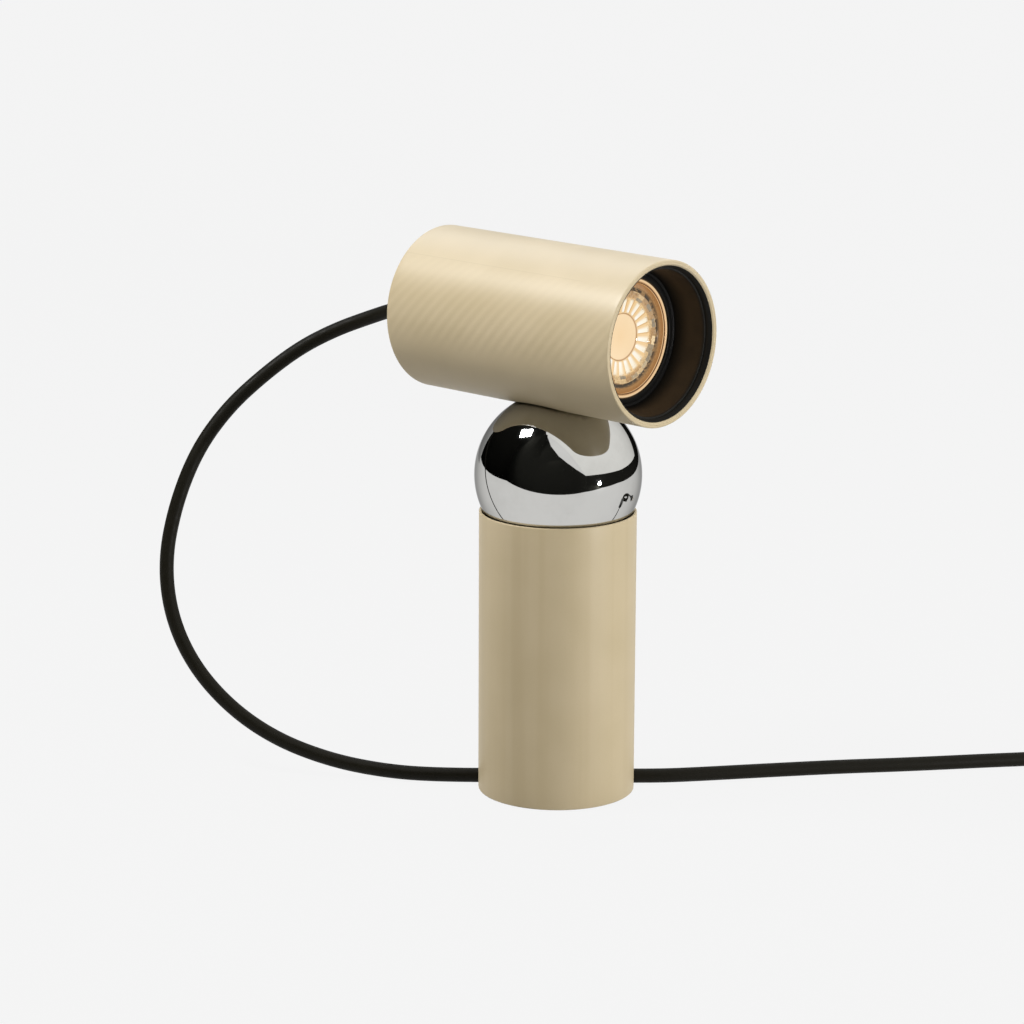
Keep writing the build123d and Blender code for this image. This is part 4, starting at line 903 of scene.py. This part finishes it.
def chromeBall():
    # radius * (sin s, cos s) from pole to pole, turned round the upright line
    s = np.linspace(0, pi, ballSize["rings"] + 1)[1:-1]
    outline = np.stack([ballSize["high"] - ballSize["radius"] * np.cos(s), ballSize["radius"] * np.sin(s)], -1) * mm
    return lathe("chromeBall", outline, baseAxis, ballSize["steps"], chrome, loop=False)


ball = chromeBall()
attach(ball, "ball")
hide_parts("ball")
print("base and ball made")


# head: tube, liner, bulb

head = {"outer": 35.35, "bore": 32.95, "front": -57.7, "rear": 68.1, "round": 0.6, "bevel": 0.6, "groove": 34.15,
        "window": 36.7}


def headShell():
    r, b, start, end = (head[k] for k in ("outer", "bore", "front", "rear"))
    size = head["bevel"]
    groove = head["groove"]
    outline = rounded([(start, b + size, 0.25), (start, groove - 0.14, 0.05), (start + 0.14, groove, 0.06),
                       (start, groove + 0.14, 0.05), (start, r, head["round"]), (end, r, head["round"]),
                       (end, b + size, 0.25), (end - size, b, 0.25), (start + size, b, 0.25)], 6)
    piece = lathe("headShell", longRuns(outline, 2.5 * mm), headAxis, 320, paint)
    s = np.linspace(0, pi, 97)[1:-1]
    window = np.stack([ballSize["high"] - head["window"] * np.cos(s), head["window"] * np.sin(s)], -1) * mm
    return cut(piece, lathe("window", window, baseAxis, 240, paint, loop=False))


headTube = headShell()
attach(headTube, "head")
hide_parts("head_tube")

liner = {"outer": 32.85, "start": -57.15, "lipBore": 32.65, "lipDepth": 2.3, "bandDepth": 3.5,
         "bandBore": 31.95, "stepBore": 31.15, "mouth": 29.0,
         "flangeDepth": 18.3, "flangeBore": 27.85, "depth": 22.0}


def frontLiner():
    zero = head["front"]
    outline = rounded([
        (liner["start"], liner["outer"], 0.05), (liner["start"], liner["lipBore"], 0.05),
        (zero + liner["lipDepth"], liner["bandBore"], 0.5), (zero + liner["bandDepth"], liner["bandBore"], 0.1),
        (zero + liner["bandDepth"], liner["stepBore"], 0.1),
        (zero + liner["flangeDepth"], liner["mouth"], 0.5), (zero + liner["flangeDepth"], liner["flangeBore"], 0.25),
        (zero + liner["depth"], liner["flangeBore"], 0.2), (zero + liner["depth"], liner["outer"], 0.2)], 5)
    return lathe("frontLiner", longRuns(outline, 4 * mm), headAxis, 224, linerBlack)


bulbRings = {"retainer": [(-39.5, 27.75, 0.3), (-39.5, 25.55, 0.5), (-36.1, 25.55, 0.3), (-36.1, 27.75, 0.3)],
             "rim": [(-35.8, 23.5, 0), (-38.55, 23.5, 0.1), (-38.8, 23.8, 0.08), (-38.35, 24.1, 0.08),
                     (-38.35, 24.3, 0.08), (-38.8, 24.5, 0.1), (-38.8, 25.3, 0.35), (-35.8, 25.3, 0)]}
linerPiece = frontLiner()
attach(linerPiece, "head")
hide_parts("front_liner")
retainer = lathe("bulbRetainer", rounded(bulbRings["retainer"], 5), headAxis, 192, linerBlack)
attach(retainer, "head")
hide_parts("bulb_retainer")


def bulbFront():
    # pressed glass: each row lies at its place along the head, raised by radial ribs or by two rows of blocks
    steps = optic["ribs"] * optic["stepsPerRib"]
    t = np.arange(steps) / steps
    raised = {"flat": np.zeros(steps), "ribs": (t * optic["ribs"]) % 1.0,
              "blocks": np.where((t * optic["blocks"]) % 1.0 < 0.8, 1.0, 0.0),
              "between": np.where((t * optic["blocks"] + 0.5) % 1.0 < 0.8, 1.0, 0.0)}
    radius = np.array([row[0] for row in optic["rows"]])[:, None]
    along = np.array([place - high * raised[kind] for _, place, kind, high in optic["rows"]])
    turned = 2 * pi * t
    grid = np.stack([radius * np.cos(turned), along, headForm["high"] / mm + radius * np.sin(turned)], -1) * mm
    return surface("bulbOptic", grid, glowGlass, sharp=18)


bulbOptic = bulbFront()
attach(bulbOptic, "head")
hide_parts("bulb_lens")
bulbRim = lathe("bulbRim", rounded(bulbRings["rim"], 4), headAxis, 192, copper)
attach(bulbRim, "head")
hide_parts("bulb_rim")


relief = {"high": 204.45, "inside": 62.8, "capIn": 64.6, "capOut": 67.1, "outside": 68.9, "end": 84.0,
          "endHigh": 203.0, "flange": 6.6, "flangeRound": 0.4, "neck": 5.0, "root": 5.2, "tip": 4.0,
          "ribs": 6, "ribShare": 0.55, "ribDeep": 0.75}


def strainRelief():
    # flange, neck through the cap, flange, and a ribbed taper: its middle sinks as s^2 over the taper's length
    k = relief
    edge = k["flange"] - k["flangeRound"]
    rows = [(k["inside"] - 0.05, 3.2), (k["inside"], edge), (k["inside"] + 0.3, k["flange"]),
            (k["capIn"] - 0.1, k["flange"]), (k["capIn"], k["neck"]), (k["capOut"], k["neck"]),
            (k["capOut"] + 0.05, k["flange"]), (k["outside"] - k["flangeRound"], k["flange"]),
            (k["outside"] - 0.05, edge), (k["outside"], k["root"])]
    pitch = (k["end"] - k["outside"]) / (k["ribs"] + 0.5)
    share = k["ribShare"]
    for n in range(k["ribs"]):
        start = k["outside"] + pitch * (n + 0.5)
        way = [(start + pitch * part - k["outside"]) / (k["end"] - k["outside"]) for part in (0, share)]
        thick = [k["root"] + (k["tip"] - k["root"]) * w for w in way]
        rows += [(start, thick[0]), (start + 0.1, thick[0] - k["ribDeep"]),
                 (start + share * pitch, thick[1] - k["ribDeep"]), (start + share * pitch + 0.1, thick[1])]
    rows += [(k["end"] - 0.15, k["tip"]), (k["end"], k["tip"] - 0.3)]
    y, radius = np.array(rows).T
    s = np.clip((y - k["outside"]) / (k["end"] - k["outside"]), 0, 1)
    middle = np.stack([0 * y, y, k["high"] + (k["endHigh"] - k["high"]) * s * s], -1)
    rings = squareRings(middle * mm, radius * mm, np.array([1.0, 0, 0]), 48)
    return surface("strainRelief", rings, softBlack, sharp=30)


reliefPiece = strainRelief()
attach(reliefPiece, "head")
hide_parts("strain_relief")
print("head made")
